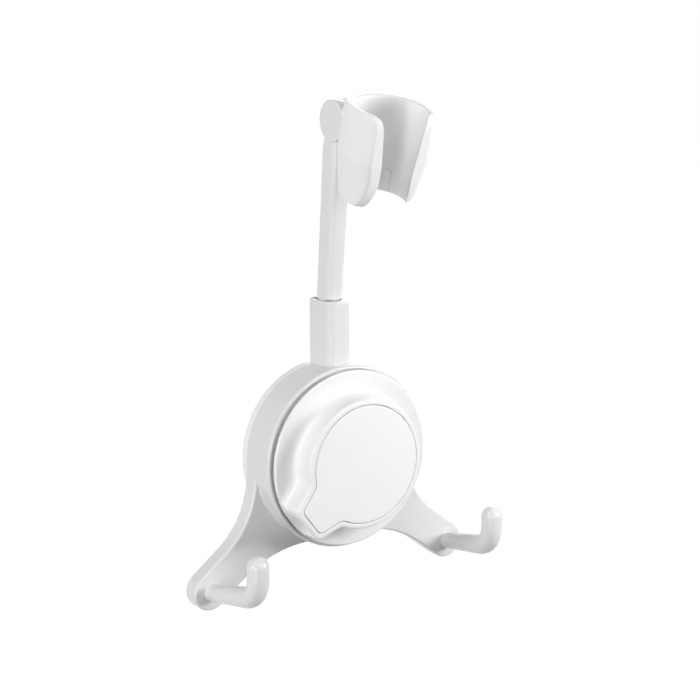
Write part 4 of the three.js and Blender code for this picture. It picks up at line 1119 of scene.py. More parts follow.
@dataclass
class TwistLock:
    """The knob with its cover, the cam that it turns, and the stud and pad that the cam draws."""

    flange_back: float = 26.6
    flange_front: float = 28.2
    flange_radius: float = 40.6
    flange_round: float = 1.1
    boss_limit: float = 40.45
    boss_rim: float = 3.0
    boss_front: float = 40.5
    cove: float = 3.4
    front_round: float = 1.6
    floor: float = 39.1
    inside: float = 37.4
    shell_wall: float = 2.2
    inner_edge: float = 0.8
    back_edge: float = 0.5
    recess_edge: float = 0.3
    hub_inner: float = 14.2
    hub_outer: float = 16.2
    skirt_inner: float = 35.5
    skirt_outer: float = 37.9
    skirt_back: float = 21.8
    rib_count: int = 6
    rib_inner: float = 15.4
    rib_width: float = 1.6
    bury: float = 0.6
    keyway_half: Pair = (2.3, 15.3)
    cover_radius: float = 27.0
    cover_back: float = 39.4
    cover_front: float = 41.3
    cover_crown: float = 0.5
    cover_edge: float = 0.5
    cover_chamfer: float = 0.2
    crown_shares: tuple[float, ...] = (0.92, 0.8, 0.65, 0.5, 0.35, 0.2, 0.08)
    gap: float = 0.3
    pointer_angle: float = 217.0
    pointer_reach: float = 36.9
    pointer_half: float = 7.2
    pointer_taper: float = 17.0
    pointer_corner: float = 2.2
    pointer_root: float = 2.4
    pointer_steps: int = 8
    rim_steps: int = 150
    cam_back: float = 23.0
    cam_base: float = 2.4
    cam_radius: float = 13.9
    cam_bore: float = 7.371
    cam_lead: float = 2.2282
    cam_twist: float = 90.0
    cam_run_out: float = 18.0
    cam_edge: float = 0.25
    cam_lug_half: Pair = (2.0, 0.7)
    cam_lug_reach: float = 14.3
    ramp_start: float = 26.5
    ramp_steps: int = 40
    valley_steps: int = 14
    washer_radius: float = 16.2
    washer_back: float = 21.8
    washer_front: float = 22.7
    pin_front: float = 28.9
    pin_radius: float = 2.0
    pin_half: float = 12.4
    pin_hole: float = 2.3
    stud_half: float = 5.0
    stud_corner: float = 0.6
    stud_back: float = 3.0
    stud_nose: float = 4.0
    foot_radius: float = 9.0
    foot_back: float = 2.5
    foot_front: float = 4.5
    pad_corners: tuple[Triple, ...] = (
        (0, 0.9, 0),
        (27.0, 0.55, 3.0),
        (33.2, 0.3, 0.5),
        (33.9, 0.05, 0.3),
        (34.6, 0.3, 0.5),
        (36.6, 0.22, 0.4),
        (37.2, 0.0, 0.3),
        (40.3, 0.0, 0.3),
        (40.9, 0.5, 0.3),
        (41.15, 4.86, 0.05),
        (37.0, 4.86, 0.8),
        (36.0, 2.2, 1.2),
        (16.5, 2.2, 2.0),
        (12.5, 5.2, 0.8),
        (12.5, 7.4, 0.7),
        (7.4, 7.4, 0.4),
        (7.4, 4.8, 0.1),
        (9.3, 4.8, 0.1),
        (9.3, 2.2, 0.1),
        (0, 2.2, 0),
    )

    def outline(self, offset: float) -> np.ndarray:
        """The cover's outline, a disc with a blunt tapering pointer, grown by an offset.

        Args:
            offset: How far the outline is grown.

        Returns:
            Points as rows of (across, height).
        """
        radius = self.cover_radius + offset
        taper = math.radians(self.pointer_taper)
        along = np.array((math.cos(taper), -math.sin(taper)))
        outward = np.array((math.sin(taper), math.cos(taper)))
        anchor = np.array((self.pointer_reach, self.pointer_half)) + outward * offset
        tip = anchor + along * ((self.pointer_reach + offset - anchor[0]) / along[0])
        reach = float(anchor @ along)
        chord = math.sqrt(radius**2 - float(anchor @ anchor) + reach**2)
        root = anchor + along * (chord - reach)
        corner = self.pointer_corner + max(0.0, offset) / 2
        root_turn = math.degrees(math.atan2(root[1], root[0]))
        ease = math.degrees(self.pointer_root / radius)
        on_flank = tip - along * corner
        leaving = root + along * self.pointer_root
        rim = arc((0, 0), radius, root_turn + ease, 360 - root_turn - ease, self.rim_steps)
        steps, flip = self.pointer_steps, np.array((1, -1))
        lower = bend(rim[-1], root * flip, leaving * flip, steps)[1:]
        lower += bend(on_flank * flip, tip * flip, (tip[0], corner - tip[1]), steps)
        upper = [(a, -b) for a, b in reversed(lower)]
        points = np.array(rim + lower + upper)
        turn = math.radians(self.pointer_angle)
        spin = np.array(((math.cos(turn), math.sin(turn)), (-math.sin(turn), math.cos(turn))))
        return points @ spin

    def ring(self, front: float, radius: float = 0.0, offset: float | None = None) -> np.ndarray:
        """One ring of the knob: the wider of a circle and the boss's outline at one front distance.

        Args:
            front: Distance in front of the wall.
            radius: Radius of the circle, or 0.
            offset: Growth of the outline, or None.

        Returns:
            The ring's points.
        """
        base = self.outline(0)
        heading = base / np.linalg.norm(base, axis=1)[:, None]
        width = np.full(len(base), radius)
        if offset is not None:
            grown = self.outline(offset)
            reach = np.linalg.norm(grown, axis=1)
            heading = np.where((reach >= radius)[:, None], grown / reach[:, None], heading)
            width = np.maximum(width, np.minimum(reach, self.boss_limit))
        return laid(heading * width[:, None], Axis.FRONT, front)

    def shell(self) -> bpy.types.Object:
        """The knob's moulding: flange, coved boss, recess for the cover, and the hollow behind."""
        hollow, edge = self.boss_rim - self.shell_wall, self.back_edge
        rings = [np.array([[0, self.inside, 0]])]
        rings.append(self.ring(self.inside, offset=hollow - self.inner_edge))
        rings.append(self.ring(self.inside - self.inner_edge, offset=hollow))
        rings.append(self.ring(self.flange_back, offset=hollow))
        for radius, front in arc((self.flange_radius - edge, self.flange_back + edge), edge, -90, 0, 4):
            rings.append(self.ring(front, radius, 0.0))
        middle = (self.flange_radius - self.flange_round, self.flange_front - self.flange_round)
        for radius, front in arc(middle, self.flange_round, 0, 90, 6):
            rings.append(self.ring(front, radius, self.boss_rim + self.cove))
        for left, climb in quarter(self.cove, 10):
            rings.append(self.ring(self.flange_front + climb, offset=self.boss_rim + left))
        for left, inset in quarter(self.front_round, 8):
            rings.append(self.ring(self.boss_front - left, offset=self.boss_rim - inset))
        for left, drop in quarter(self.recess_edge, 3):
            rings.append(self.ring(self.boss_front - drop, offset=self.gap + left))
        rings.append(self.ring(self.floor, offset=self.gap))
        rings.append(np.array([[0, self.floor, 0]]))
        made = loft(rings).to_object("knob_moulding")
        hub = tube(self.hub_inner, self.hub_outer, self.cam_back, self.inside + self.bury)
        skirt = tube(self.skirt_inner, self.skirt_outer, self.skirt_back, self.flange_back + 1.0)
        turned = [lathe(profile, Axis.FRONT, closed=True) for profile in (hub, skirt)]
        work(made, Joining.ADD, *turned, self.ribs())
        keyway_end = self.cam_back + self.cam_base + 0.3
        keyways = slab(oblong(*self.keyway_half, 0.2), Axis.FRONT, self.cam_back - 1, keyway_end)
        work(made, Joining.TAKE, keyways)
        return finished(made)

    def ribs(self) -> bpy.types.Object:
        """The ribs inside the knob, from its hub to the boss's wall."""
        inner, outer = self.rib_inner, self.cover_radius + 1.6
        back, front = self.flange_back, self.inside + self.bury
        return RibSet(
            name="knob_ribs",
            count=self.rib_count,
            reach=(inner + outer) / 2,
            angle=self.pointer_angle,
            angle_step=360 / self.rib_count,
            front=(back + front) / 2,
            size=(outer - inner, front - back, self.rib_width),
        ).build()

    def cover(self) -> bpy.types.Object:
        """The round cover with its pointer, barely crowned, with a soft edge."""
        rim = self.cover_front - self.cover_crown
        rings = [np.array([[0, self.cover_back, 0]])]
        rings.append(self.ring(self.cover_back, offset=-self.cover_chamfer))
        rings.append(self.ring(self.cover_back + self.cover_chamfer, offset=0.0))
        for left, inset in quarter(self.cover_edge, 6):
            rings.append(self.ring(rim - left, offset=-inset))
        edge = self.ring(rim, offset=-self.cover_edge)
        for share in self.crown_shares:
            inner = edge * np.array((share, 1, share))
            inner[:, 1] = rim + self.cover_crown * (1 - share**2)
            rings.append(inner)
        rings.append(np.array([[0, self.cover_front, 0]]))
        return finished(loft(rings).to_object("knob_cover"))

    def cam(self) -> bpy.types.Object:
        """The cam ring: two helical ramps that lift the cross pin as the knob turns."""
        low, high = self.cam_back, self.cam_back + self.cam_base
        run_out, twist = math.radians(self.cam_run_out), math.radians(self.cam_twist)
        columns: list[Pair] = []
        for start in (0.0, math.pi):
            first, last = start - run_out, start + twist + run_out
            columns.append((first, high))
            for turn in np.linspace(first, last, self.ramp_steps):
                columns.append((turn, self.ramp_start + self.cam_lead * (turn - start)))
            columns.append((last, high))
            valley = np.linspace(last, start + math.pi - run_out, self.valley_steps)
            columns += [(turn, high) for turn in valley[1:-1]]
        rings = []
        for turn, top in columns:
            profile = tube(self.cam_bore, self.cam_radius, low, top, self.cam_edge)
            rings.append(np.array([(r * math.cos(turn), f, r * math.sin(turn)) for r, f in profile]))
        made = loft(rings, closed=True).to_object("cam_moulding")
        for reach in (self.cam_lug_reach, -self.cam_lug_reach):
            lug = slab(shifted(oblong(*self.cam_lug_half, 0.2), 0, reach), Axis.FRONT, low, high)
            work(made, Joining.ADD, lug)
        return finished(made, 25)

    def stud(self) -> bpy.types.Object:
        """The keyed square stud on its round foot, drilled for the cross pin."""
        nose = self.pin_front + self.stud_nose
        levels = ((0.0, self.stud_back), (0.0, nose - 0.8), (0.25, nose - 0.25), (0.8, nose))
        rings = []
        for inset, level in levels:
            half = self.stud_half - inset
            rings.append(laid(oblong(half, half, self.stud_corner), Axis.FRONT, level))
        made = loft(rings).to_object("keyed_stud")
        foot = rod(self.foot_radius, self.foot_back, self.foot_front, 0.5)
        work(made, Joining.ADD, lathe(foot, Axis.FRONT))
        reach = self.stud_half + 1
        hole = lathe(rod(self.pin_hole, -reach, reach), Axis.ACROSS, SMALL_SEGMENTS)
        work(made, Joining.TAKE, hole.moved(front=self.pin_front))
        return finished(made)

    def pad(self) -> bpy.types.Object:
        """The soft suction disc: sealing bead, dished wall face with a fine ridge, and boss."""
        return finished(lathe(rounded(self.pad_corners), Axis.FRONT).to_object("suction_disc"), 50)

    def build(self) -> None:
        """Makes every piece of the lock and seats all but the soft pad, which is set in place without a
        body.
        """
        # The knob's moulding wears the gloss white lightened as painted light.
        seated(self.shell(), "knob", PAINTED_LIGHT_WHITE, "knob_shell")
        # The cover's colour is lifted as painted light; its satin gloss is its own.
        seated(self.cover(), "knob", SATIN_COVER_PAINTED_LIGHT, "indicator_cover")
        seated(self.cam(), "knob", ACETAL, "cam_ring")
        profile = tube(self.cam_bore, self.washer_radius, self.washer_back, self.washer_front)
        washer = lathe(profile, Axis.FRONT, closed=True)
        seated(finished(washer.to_object("cam_washer")), "bracket", ACETAL, "thrust_washer")
        seated(self.stud(), "stud", ACETAL, "pad_stud")
        bar = rod(self.pin_radius, -self.pin_half, self.pin_half, 0.5)
        pin = lathe(bar, Axis.ACROSS, SMALL_SEGMENTS).moved(front=self.pin_front)
        seated(finished(pin.to_object("steel_cross_pin")), "stud", PLATED_STEEL, "cross_pin")
        disc = self.pad()
        disc.data.materials.append(SOFT_VINYL.material())
        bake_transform(disc)
        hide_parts("suction_pad")
        LOG.info("%s between bracket and stud: %d faces", disc.name, len(disc.data.polygons))


@dataclass
class Arm:
    """The upright arm with its swivel in the socket and its forked head."""

    axis_front: float = SWIVEL_FRONT
    shoulder: float = 68.1
    foot: float = 70.95
    collar_radius: float = 4.6
    spigot_radius: float = 3.4
    spigot_end: float = 41.7
    groove_radius: float = 2.4
    groove_low: float = 45.6
    groove_high: float = 47.8
    foot_edge: float = 0.4
    shaft_rows: int = 32
    corner: float = 3.2
    pivot_front: float = HINGE_FRONT
    pivot_height: float = HINGE_HEIGHT
    ear_radius: float = 9.3
    ear_outer: float = 5.8
    ear_edge: float = 0.7
    slot_half: float = 2.6
    slot_radius: float = 9.6
    hole_radius: float = 2.5
    screw_radius: float = 2.2
    head_radius: float = 3.9
    head_height: float = 0.9
    head_seat: float = 4.1
    head_room: float = 4.2
    recess_half: Pair = (2.0, 0.4)
    recess_floor: float = 0.35
    thread_turns: float = 4.0
    thread_length: float = 2.4
    thread_ridge: float = 0.14
    cap_seat: float = 3.4
    cap_back: float = 1.2
    cap_dome: float = 0.5
    cap_turn: float = 1.5
    insert_radius: float = 3.5
    insert_end: float = -4.75
    insert_length: float = 2.0
    insert_edge: float = 0.25
    knurl_count: int = 36
    knurl_depth: float = 0.12
    clip_inner: float = 2.7
    clip_outer: float = 4.7
    clip_back: float = 1.7
    clip_levels: Pair = (45.9, 47.5)
    bush_inner: float = 3.7
    bush_outer: float = 4.7
    bush_levels: Pair = (48.1, 66.0)
    ring_levels: Pair = (66.3, 67.8)
    ring_edge: float = 0.4
    cone_levels: Pair = (3.55, 3.85)
    cone_rise: float = 0.1
    fibre_radius: float = 6.8
    fibre_levels: Pair = (2.05, 2.45)

    def stations(self) -> list[tuple[float, float, float, float]]:
        """Rows of (height, half width, half depth, front) up the arm."""
        return [
            (self.foot, 4.6, 5.5, self.axis_front),
            (139.8, 4.9, 5.9, 17.6),
            (self.pivot_height, 4.9, 5.0, 20.6),
        ]

    def shaft(self) -> Skin:
        """The shaft: round-cornered, leaning forward, swelling towards the fork."""
        rows = np.array(self.stations())
        levels = [(inset, self.foot + climb) for inset, climb in quarter(self.foot_edge, 3)]
        heights = np.linspace(self.foot + 2, self.pivot_height, self.shaft_rows)
        levels += [(0.0, height) for height in heights]
        rings = []
        for inset, height in levels:
            half_width, half_depth, front = (
                np.interp(height, rows[:, 0], column) for column in rows.T[1:]
            )
            plan = shifted(oblong(half_width - inset, half_depth - inset, self.corner), 0, front)
            rings.append(laid(plan, Axis.UPRIGHT, height))
        return loft(rings)

    def at_pivot(self, skin: Skin) -> Skin:
        """A skin made round the hinge's axis, moved to the hinge."""
        return skin.moved(front=self.pivot_front, height=self.pivot_height)

    def across(
        self, profile: Sequence[Pair], closed: bool = False, segments: int = MIDDLE_SEGMENTS
    ) -> Skin:
        """A profile turned round the hinge's axis, in its place."""
        return self.at_pivot(lathe(profile, Axis.ACROSS, segments, closed))

    def swivelling(self, profile: Sequence[Pair], closed: bool = False) -> Skin:
        """A profile turned round the swivel's axis, in its place."""
        return lathe(profile, Axis.UPRIGHT, MIDDLE_SEGMENTS, closed).moved(front=self.axis_front)

    def upright(self) -> bpy.types.Object:
        """The arm itself: spigot, shaft, and fork with round ears."""
        spigot = [
            (0, self.spigot_end, 0),
            (self.spigot_radius, self.spigot_end, 0.5),
            (self.spigot_radius, self.groove_low, 0.1),
            (self.groove_radius, self.groove_low, 0.1),
            (self.groove_radius, self.groove_high, 0.1),
            (self.spigot_radius, self.groove_high, 0.1),
            (self.spigot_radius, self.shoulder, 0.1),
            (self.collar_radius, self.shoulder, 0.3),
            (self.collar_radius, self.foot + 0.5, 0.0),
            (0, self.foot + 1, 0),
        ]
        made = self.shaft().to_object("upright_moulding")
        ears = rod(self.ear_radius, -self.ear_outer, self.ear_outer, self.ear_edge)
        work(made, Joining.ADD, self.swivelling(rounded(spigot)), self.across(ears, segments=SEGMENTS))
        fork = rod(self.slot_radius, -self.slot_half, self.slot_half, 0.1)
        slot = self.across(fork, segments=SEGMENTS)
        hole = self.across(rod(self.hole_radius, 0, self.ear_outer, 0.05))
        room = self.across(rod(self.head_room, self.cap_seat, self.ear_outer + 2, 0.05))
        blind = self.across(rod(self.insert_radius + 0.3, self.insert_end - 0.3, 0, 0.05))
        work(made, Joining.TAKE, slot, hole, room, blind)
        return finished(made)

    def screw(self) -> bpy.types.Object:
        """The hinge's screw: flat head with a cross recess, and a thread that bites the insert."""
        end, seat = self.insert_end + 0.3, self.head_seat
        top = seat + self.head_height
        profile = [
            (0, end, 0),
            (self.screw_radius, end, 0.3),
            (self.screw_radius, seat, 0.1),
            (self.head_radius, seat, 0.1),
            (self.head_radius, top, 0.4),
            (0, top, 0),
        ]
        made = lathe(rounded(profile), Axis.ACROSS, SMALL_SEGMENTS).to_object("hinge_screw")
        for half_a, half_b in (self.recess_half, self.recess_half[::-1]):
            plan = oblong(half_a, half_b, 0.1, 2)
            work(made, Joining.TAKE, slab(plan, Axis.ACROSS, seat + self.recess_floor, seat + 2))
        thread = ThreadRoundShank().wind(
            self.thread_turns, self.screw_radius, self.thread_length, self.thread_ridge
        )
        lay = Matrix.Rotation(math.pi / 2, 4, "Y")
        thread.data.transform(Matrix.Translation((end * MM, 0, 0)) @ lay)
        work(made, Joining.ADD, thread)
        made.data.transform(Matrix.Translation((0, -self.pivot_front * MM, self.pivot_height * MM)))
        return finished(made)

    def cap(self) -> bpy.types.Object:
        """The domed cap over the screw's head."""
        low, high = self.head_seat + self.cap_back, self.ear_outer + self.cap_dome
        dome = []
        for turn in np.linspace(0, self.cap_turn, 10):
            climb = self.cap_dome * math.sin(turn)
            dome.append((self.head_radius * math.cos(turn), self.ear_outer + climb))
        foot = rounded([(0, low, 0), (self.head_radius, low, 0.1), (*dome[0], 0)])
        return finished(self.across(foot + dome[1:] + [(0, high)]).to_object("screw_cover"))

    def insert(self) -> bpy.types.Object:
        """The knurled brass insert that the screw bites."""
        low, high = self.insert_end, self.insert_end + self.insert_length
        edge, count = self.insert_edge, 4 * self.knurl_count
        turns = np.linspace(0, 2 * math.pi, count, endpoint=False)
        heading = np.stack((np.cos(turns), np.sin(turns)), axis=1)
        wave = np.where(np.arange(count) % 4 < 2, 0.0, -self.knurl_depth)
        rings = []
        for level, inset in ((low, edge), (low + edge, 0.0), (high - edge, 0.0), (high, edge)):
            width = self.insert_radius + wave - inset
            rings.append(laid(heading * width[:, None], Axis.ACROSS, level))
        rings += [laid(heading * self.hole_radius, Axis.ACROSS, level) for level in (high, low)]
        return finished(self.at_pivot(loft(rings, closed=True)).to_object("threaded_insert"))

    def clip(self) -> bpy.types.Object:
        """The U-shaped clip that holds the spigot down."""
        inner, outer = self.clip_inner, self.clip_outer
        back, front = self.clip_back, self.axis_front + self.spigot_radius - 0.3
        throat = arc((0, self.axis_front), inner, 0, -180, 24)
        plan = [(outer, front), (outer, back), (-outer, back), (-outer, front), (-inner, front)]
        plan += throat[::-1] + [(inner, front)]
        rings = [laid(plan, Axis.UPRIGHT, height) for height in self.clip_levels]
        return finished(loft(rings).to_object("spigot_clip"))

    def build(self) -> None:
        """Makes and seats the arm, its swivel's pieces and its hinge's pieces."""
        seated(self.upright(), "arm", GLOSS_WHITE, "upright_arm")
        bush = self.swivelling(tube(self.bush_inner, self.bush_outer, *self.bush_levels), True)
        seated(finished(bush.to_object("bearing_bush")), "bracket", ACETAL, "swivel_bush")
        profile = tube(self.bush_inner, self.bush_outer, *self.ring_levels, self.ring_edge)
        ring = finished(self.swivelling(profile, True).to_object("seal_ring"), 60)
        seated(ring, "arm", DARK_RUBBER, "swivel_ring")
        seated(self.clip(), "bracket", ACETAL, "swivel_clip")
        seated(self.screw(), "arm", PLATED_STEEL, "pivot_screw")
        seated(self.insert(), "arm", TURNED_BRASS, "pivot_insert")
        low, high = self.cone_levels
        cone = [
            (self.hole_radius, low, 0.05),
            (self.head_radius, low + self.cone_rise, 0.05),
            (self.head_radius, high + self.cone_rise, 0.05),
            (self.hole_radius, high, 0.05),
        ]
        spring = self.across(rounded(cone, closed=True, steps=2), closed=True)
        seated(finished(spring.to_object("cone_washer")), "arm", PLATED_STEEL, "spring_washer")
        seated(self.cap(), "arm", GLOSS_WHITE, "screw_cap")
        for side in Side:
            low, high = sorted(side.value * level for level in self.fibre_levels)
            washer = self.across(tube(self.hole_radius, self.fibre_radius, low, high, 0.1), closed=True)
            made = finished(washer.to_object(side.label + "_fibre_washer"))
            seated(made, "arm", GREY_PLASTIC, side.label + "_friction_washer")


@dataclass
class Cradle:
    """The C-shaped cup that takes the shower's handle, drawn square to its own bore."""

    lean: float = 16.0
    pivot_front: float = HINGE_FRONT
    pivot_height: float = HINGE_HEIGHT
    offset: float = 34.5
    top: float = 18.2
    bottom: float = -23.7
    top_radius: float = 18.5
    bottom_radius: float = 15.2
    back_stretch: float = 2.8
    wall: float = 2.8
    mouth: float = 11.4
    crease: float = -2.8
    crease_half: float = 0.35
    columns: int = 41
    crowding: float = 0.28
    rows_below: int = 18
    rows_above: int = 17
    lip_top: float = 6.0
    lip_rise: float = 20.0
    lip_run: float = 8.5
    lip_bend: float = 1.4
    edge: float = 0.9
    neck_half: float = 6.5
    neck_front: float = 17.0
    neck_corner: float = 3.2
    neck_foot: float = 0.5
    neck_back: float = 7.1
    neck_edge: float = 1.4
    neck_top: float = 11.0
    head_room: float = 9.5
    tongue_half: float = 1.9
    tongue_radius: float = 8.6
    tongue_drop: float = -5.5
    tongue_rise: float = 7.0
    hole_radius: float = 2.5
    hole_half: float = 6.0
    rib_angle: float = 48.0
    rib_half: float = 2.0
    rib_height: float = 9.2
    rib_proud: float = 0.8

    def outer_radius(self, height: np.ndarray) -> np.ndarray:
        """The outside radius at some heights: straight above the crease, tapering below it."""
        share = np.clip((height - self.bottom) / (self.crease - self.bottom), 0, 1)
        return self.bottom_radius + (self.top_radius - self.bottom_radius) * share

    def bore_radius(self, height: np.ndarray) -> np.ndarray:
        """The tapering bore's radius at some heights."""
        share = (height - self.bottom) / (self.top - self.bottom)
        return self.bottom_radius - self.wall + (self.top_radius - self.bottom_radius) * share

    def outside(self, share: np.ndarray, height: np.ndarray, inset: float) -> Spread:
        """Points on the outside of one half of the cup.

        Args:
            share: From 0 at the back to 1 at the lip's end.
            height: Height of each point.
            inset: How far the lip's end is drawn in.

        Returns:
            Distances across, and front distances from the bore's axis.
        """
        radius = self.outer_radius(height)
        lip = np.arccos((self.mouth - inset) / radius)
        quarter = radius * math.pi / 2
        run = share * (quarter + self.back_stretch + radius * (math.pi / 2 - lip))
        back_turn = np.clip(run / radius, 0, math.pi / 2)
        straight = np.clip(run - quarter, 0, self.back_stretch)
        front_turn = np.maximum(run - quarter - self.back_stretch, 0) / radius
        turn = back_turn + front_turn
        return radius * np.sin(turn), -self.back_stretch + straight - radius * np.cos(turn)

    def inside(self, share: np.ndarray, height: np.ndarray, inset: float) -> Spread:
        """Points on the bore of one half of the cup, as for the outside."""
        radius = self.bore_radius(height)
        turn = share * (math.pi - np.arccos((self.mouth - inset) / radius))
        return radius * np.sin(turn), -radius * np.cos(turn)

    def limits(self, share: np.ndarray, inset: float) -> Spread:
        """The lowest and highest points of the cup's wall, with the lips' round corners.

        Args:
            share: From 0 at the back to 1 at the lip's end.
            inset: How far the edge is drawn in.

        Returns:
            Lowest and highest heights.
        """
        front = self.mouth - inset
        _, high_front = self.outside(share, np.full_like(share, self.top), inset)
        _, low_front = self.outside(share, np.full_like(share, self.bottom + self.lip_rise / 3), inset)
        top_round = self.lip_top - inset
        near_top = np.clip((front - high_front) / top_round, 0, 1)
        high = self.top - inset - top_round * (1 - np.sqrt(near_top)) ** 2
        near_low = np.clip((front - low_front) / (self.lip_run - inset), 0, 1)
        low = self.bottom + inset + (self.lip_rise - inset) * (1 - np.sqrt(near_low)) ** self.lip_bend
        return low, high

    def grid(self, inset: float, depth: float, from_bore: bool = False) -> np.ndarray:
        """A grid of points over the cup's wall.

        Args:
            inset: How far the grid's edge is drawn in from the wall's edge.
            depth: How deep the grid lies under the wall's face.
            from_bore: Whether that face is the bore rather than the outside.

        Returns:
            Points as [row][column] of (across, front, height).
        """
        crowded = np.sin(np.linspace(0, math.pi / 2, self.columns))
        half = (1 - self.crowding) * np.linspace(0, 1, self.columns) + self.crowding * crowded
        shares = np.concatenate([-half[:0:-1], half])
        size, sign = np.abs(shares), np.sign(shares)
        low, high = self.limits(size, inset)
        below, above = self.crease - self.crease_half, self.crease + self.crease_half
        rows = [low + (below - low) * share for share in np.linspace(0, 1, self.rows_below + 1)]
        rows.append(np.full_like(low, self.crease))
        rows += [above + (high - above) * share for share in np.linspace(0, 1, self.rows_above)]
        points = []
        for height in rows:
            out_across, out_front = self.outside(size, height, inset)
            in_across, in_front = self.inside(size, height, inset)
            span = np.hypot(out_across - in_across, out_front - in_front)
            share = 1 - depth / span if from_bore else depth / span
            across = out_across + (in_across - out_across) * share
            front = out_front + (in_front - out_front) * share
            points.append(np.stack((sign * across, self.offset + front, height), axis=1))
        return np.array(points)

    def cup(self) -> Skin:
        """The cup's wall as one closed skin with rounded edges."""
        outer = self.grid(self.edge, 0.0)
        inner = self.grid(self.edge, 0.0, from_bore=True)
        rows, columns = outer.shape[:2]
        loop = [(0, c) for c in range(columns)] + [(r, columns - 1) for r in range(1, rows)]
        loop += [(rows - 1, c) for c in range(columns - 2, -1, -1)]
        loop += [(r, 0) for r in range(rows - 2, 0, -1)]
        steps = quarter(self.edge, 6)[1:]
        bands = [self.grid(inset, depth) for inset, depth in steps]
        bands += [self.grid(inset, depth, from_bore=True) for inset, depth in reversed(steps)]
        points = [outer.reshape(-1, 3), inner.reshape(-1, 3)]
        points += [np.array([band[spot] for spot in loop]) for band in bands]
        starts = np.cumsum([0] + [len(block) for block in points])
        faces: list[tuple[int, ...]] = []
        for r in range(rows - 1):
            for c in range(columns - 1):
                spot = r * columns + c
                faces.append((spot, spot + 1, spot + columns + 1, spot + columns))
                far = int(starts[1]) + spot
                faces.append((far, far + columns, far + columns + 1, far + 1))
        edges = [[r * columns + c for r, c in loop]]
        edges += [list(range(int(starts[k]), int(starts[k + 1]))) for k in range(2, len(points))]
        edges.append([int(starts[1]) + r * columns + c for r, c in loop])
        for near, far in zip(edges[:-1], edges[1:]):
            for i in range(len(loop)):
                j = (i + 1) % len(loop)
                faces.append((near[j], near[i], far[i], far[j]))
        return Skin(np.vstack(points), faces).outward()

    def neck(self) -> bpy.types.Object:
        """The block between the cup's back and the hinge, hollowed round the arm's head."""
        front, top = self.neck_front, self.neck_top
        levels = [(inset, run - self.neck_half) for inset, run in quarter(self.neck_edge, 6)]
        levels += [(inset, -across) for inset, across in reversed(levels)]
        rings = []
        for inset, across in levels:
            outline = rounded(
                [
                    (front, self.tongue_drop + inset, 0),
                    (front, top - inset, 0),
                    (self.neck_back + inset, top - inset, self.neck_corner - inset),
                    (self.neck_back + inset, self.tongue_drop + inset, self.neck_foot),
                ],
                closed=True,
                steps=10,
            )
            rings.append(laid(outline, Axis.ACROSS, across))
        made = loft(rings).to_object("neck")
        room = lathe(rod(self.head_room, -self.neck_half - 1, self.neck_half + 1), Axis.ACROSS)
        return work(made, Joining.TAKE, room)

    def seat_ribs(self) -> list[Skin]:
        """The short upright ribs low in the bore that seat the handle's cone."""
        foot = self.bottom + self.edge
        shoulder = foot + self.rib_height - self.rib_half
        bore = self.bottom_radius - self.wall
        outline = [(-self.rib_half, foot), (self.rib_half, foot)]
        outline += arc((0, shoulder), self.rib_half, 0, 180, 16)
        rib = slab(outline, Axis.FRONT, -bore - self.wall / 2, self.rib_proud - bore)
        return [rib.turned(-side.value * self.rib_angle).moved(front=self.offset) for side in Side]

    def build(self) -> None:
        """Makes and seats the cradle."""
        made = self.cup().to_object("cradle_moulding")
        low, high, front, half = self.tongue_drop, self.tongue_rise, self.neck_front, self.tongue_half
        tongue = slab([(0, low), (front, low), (front, high), (0, high)], Axis.ACROSS, -half, half)
        eye = lathe(rod(self.tongue_radius, -half, half, 0.3), Axis.ACROSS)
        work(made, Joining.ADD, self.neck(), tongue, eye, *self.seat_ribs())
        hole = rod(self.hole_radius, -self.hole_half, self.hole_half)
        work(made, Joining.TAKE, lathe(hole, Axis.ACROSS, SMALL_SEGMENTS))
        turn = Matrix.Rotation(math.radians(self.lean), 4, "X")
        place = Matrix.Translation((0, -self.pivot_front * MM, self.pivot_height * MM))
        made.data.transform(place @ turn)
        # The cradle wears the gloss white lightened as painted light.
        seated(finished(made), "cradle", PAINTED_LIGHT_WHITE, "holder_cradle")


@dataclass(frozen=True)
class Lamp:
    """A soft lamp that faces the holder, with its width and height."""

    name: str
    place: Triple
    size: Pair
    power: float
    aim: Triple = (0.0, -0.02, 0.045)

    def build(self) -> None:
        """Makes the lamp and turns it to its aim."""
        light = bpy.data.lights.new(self.name, "AREA")
        light.shape = "RECTANGLE"
        light.size, light.size_y = self.size
        light.energy = self.power
        lamp = linked(self.name, light)
        heading = Vector(self.aim) - Vector(self.place)
        facing = heading.to_track_quat("-Z", "Y").to_matrix().to_4x4()
        lamp.matrix_world = Matrix.Translation(self.place) @ facing


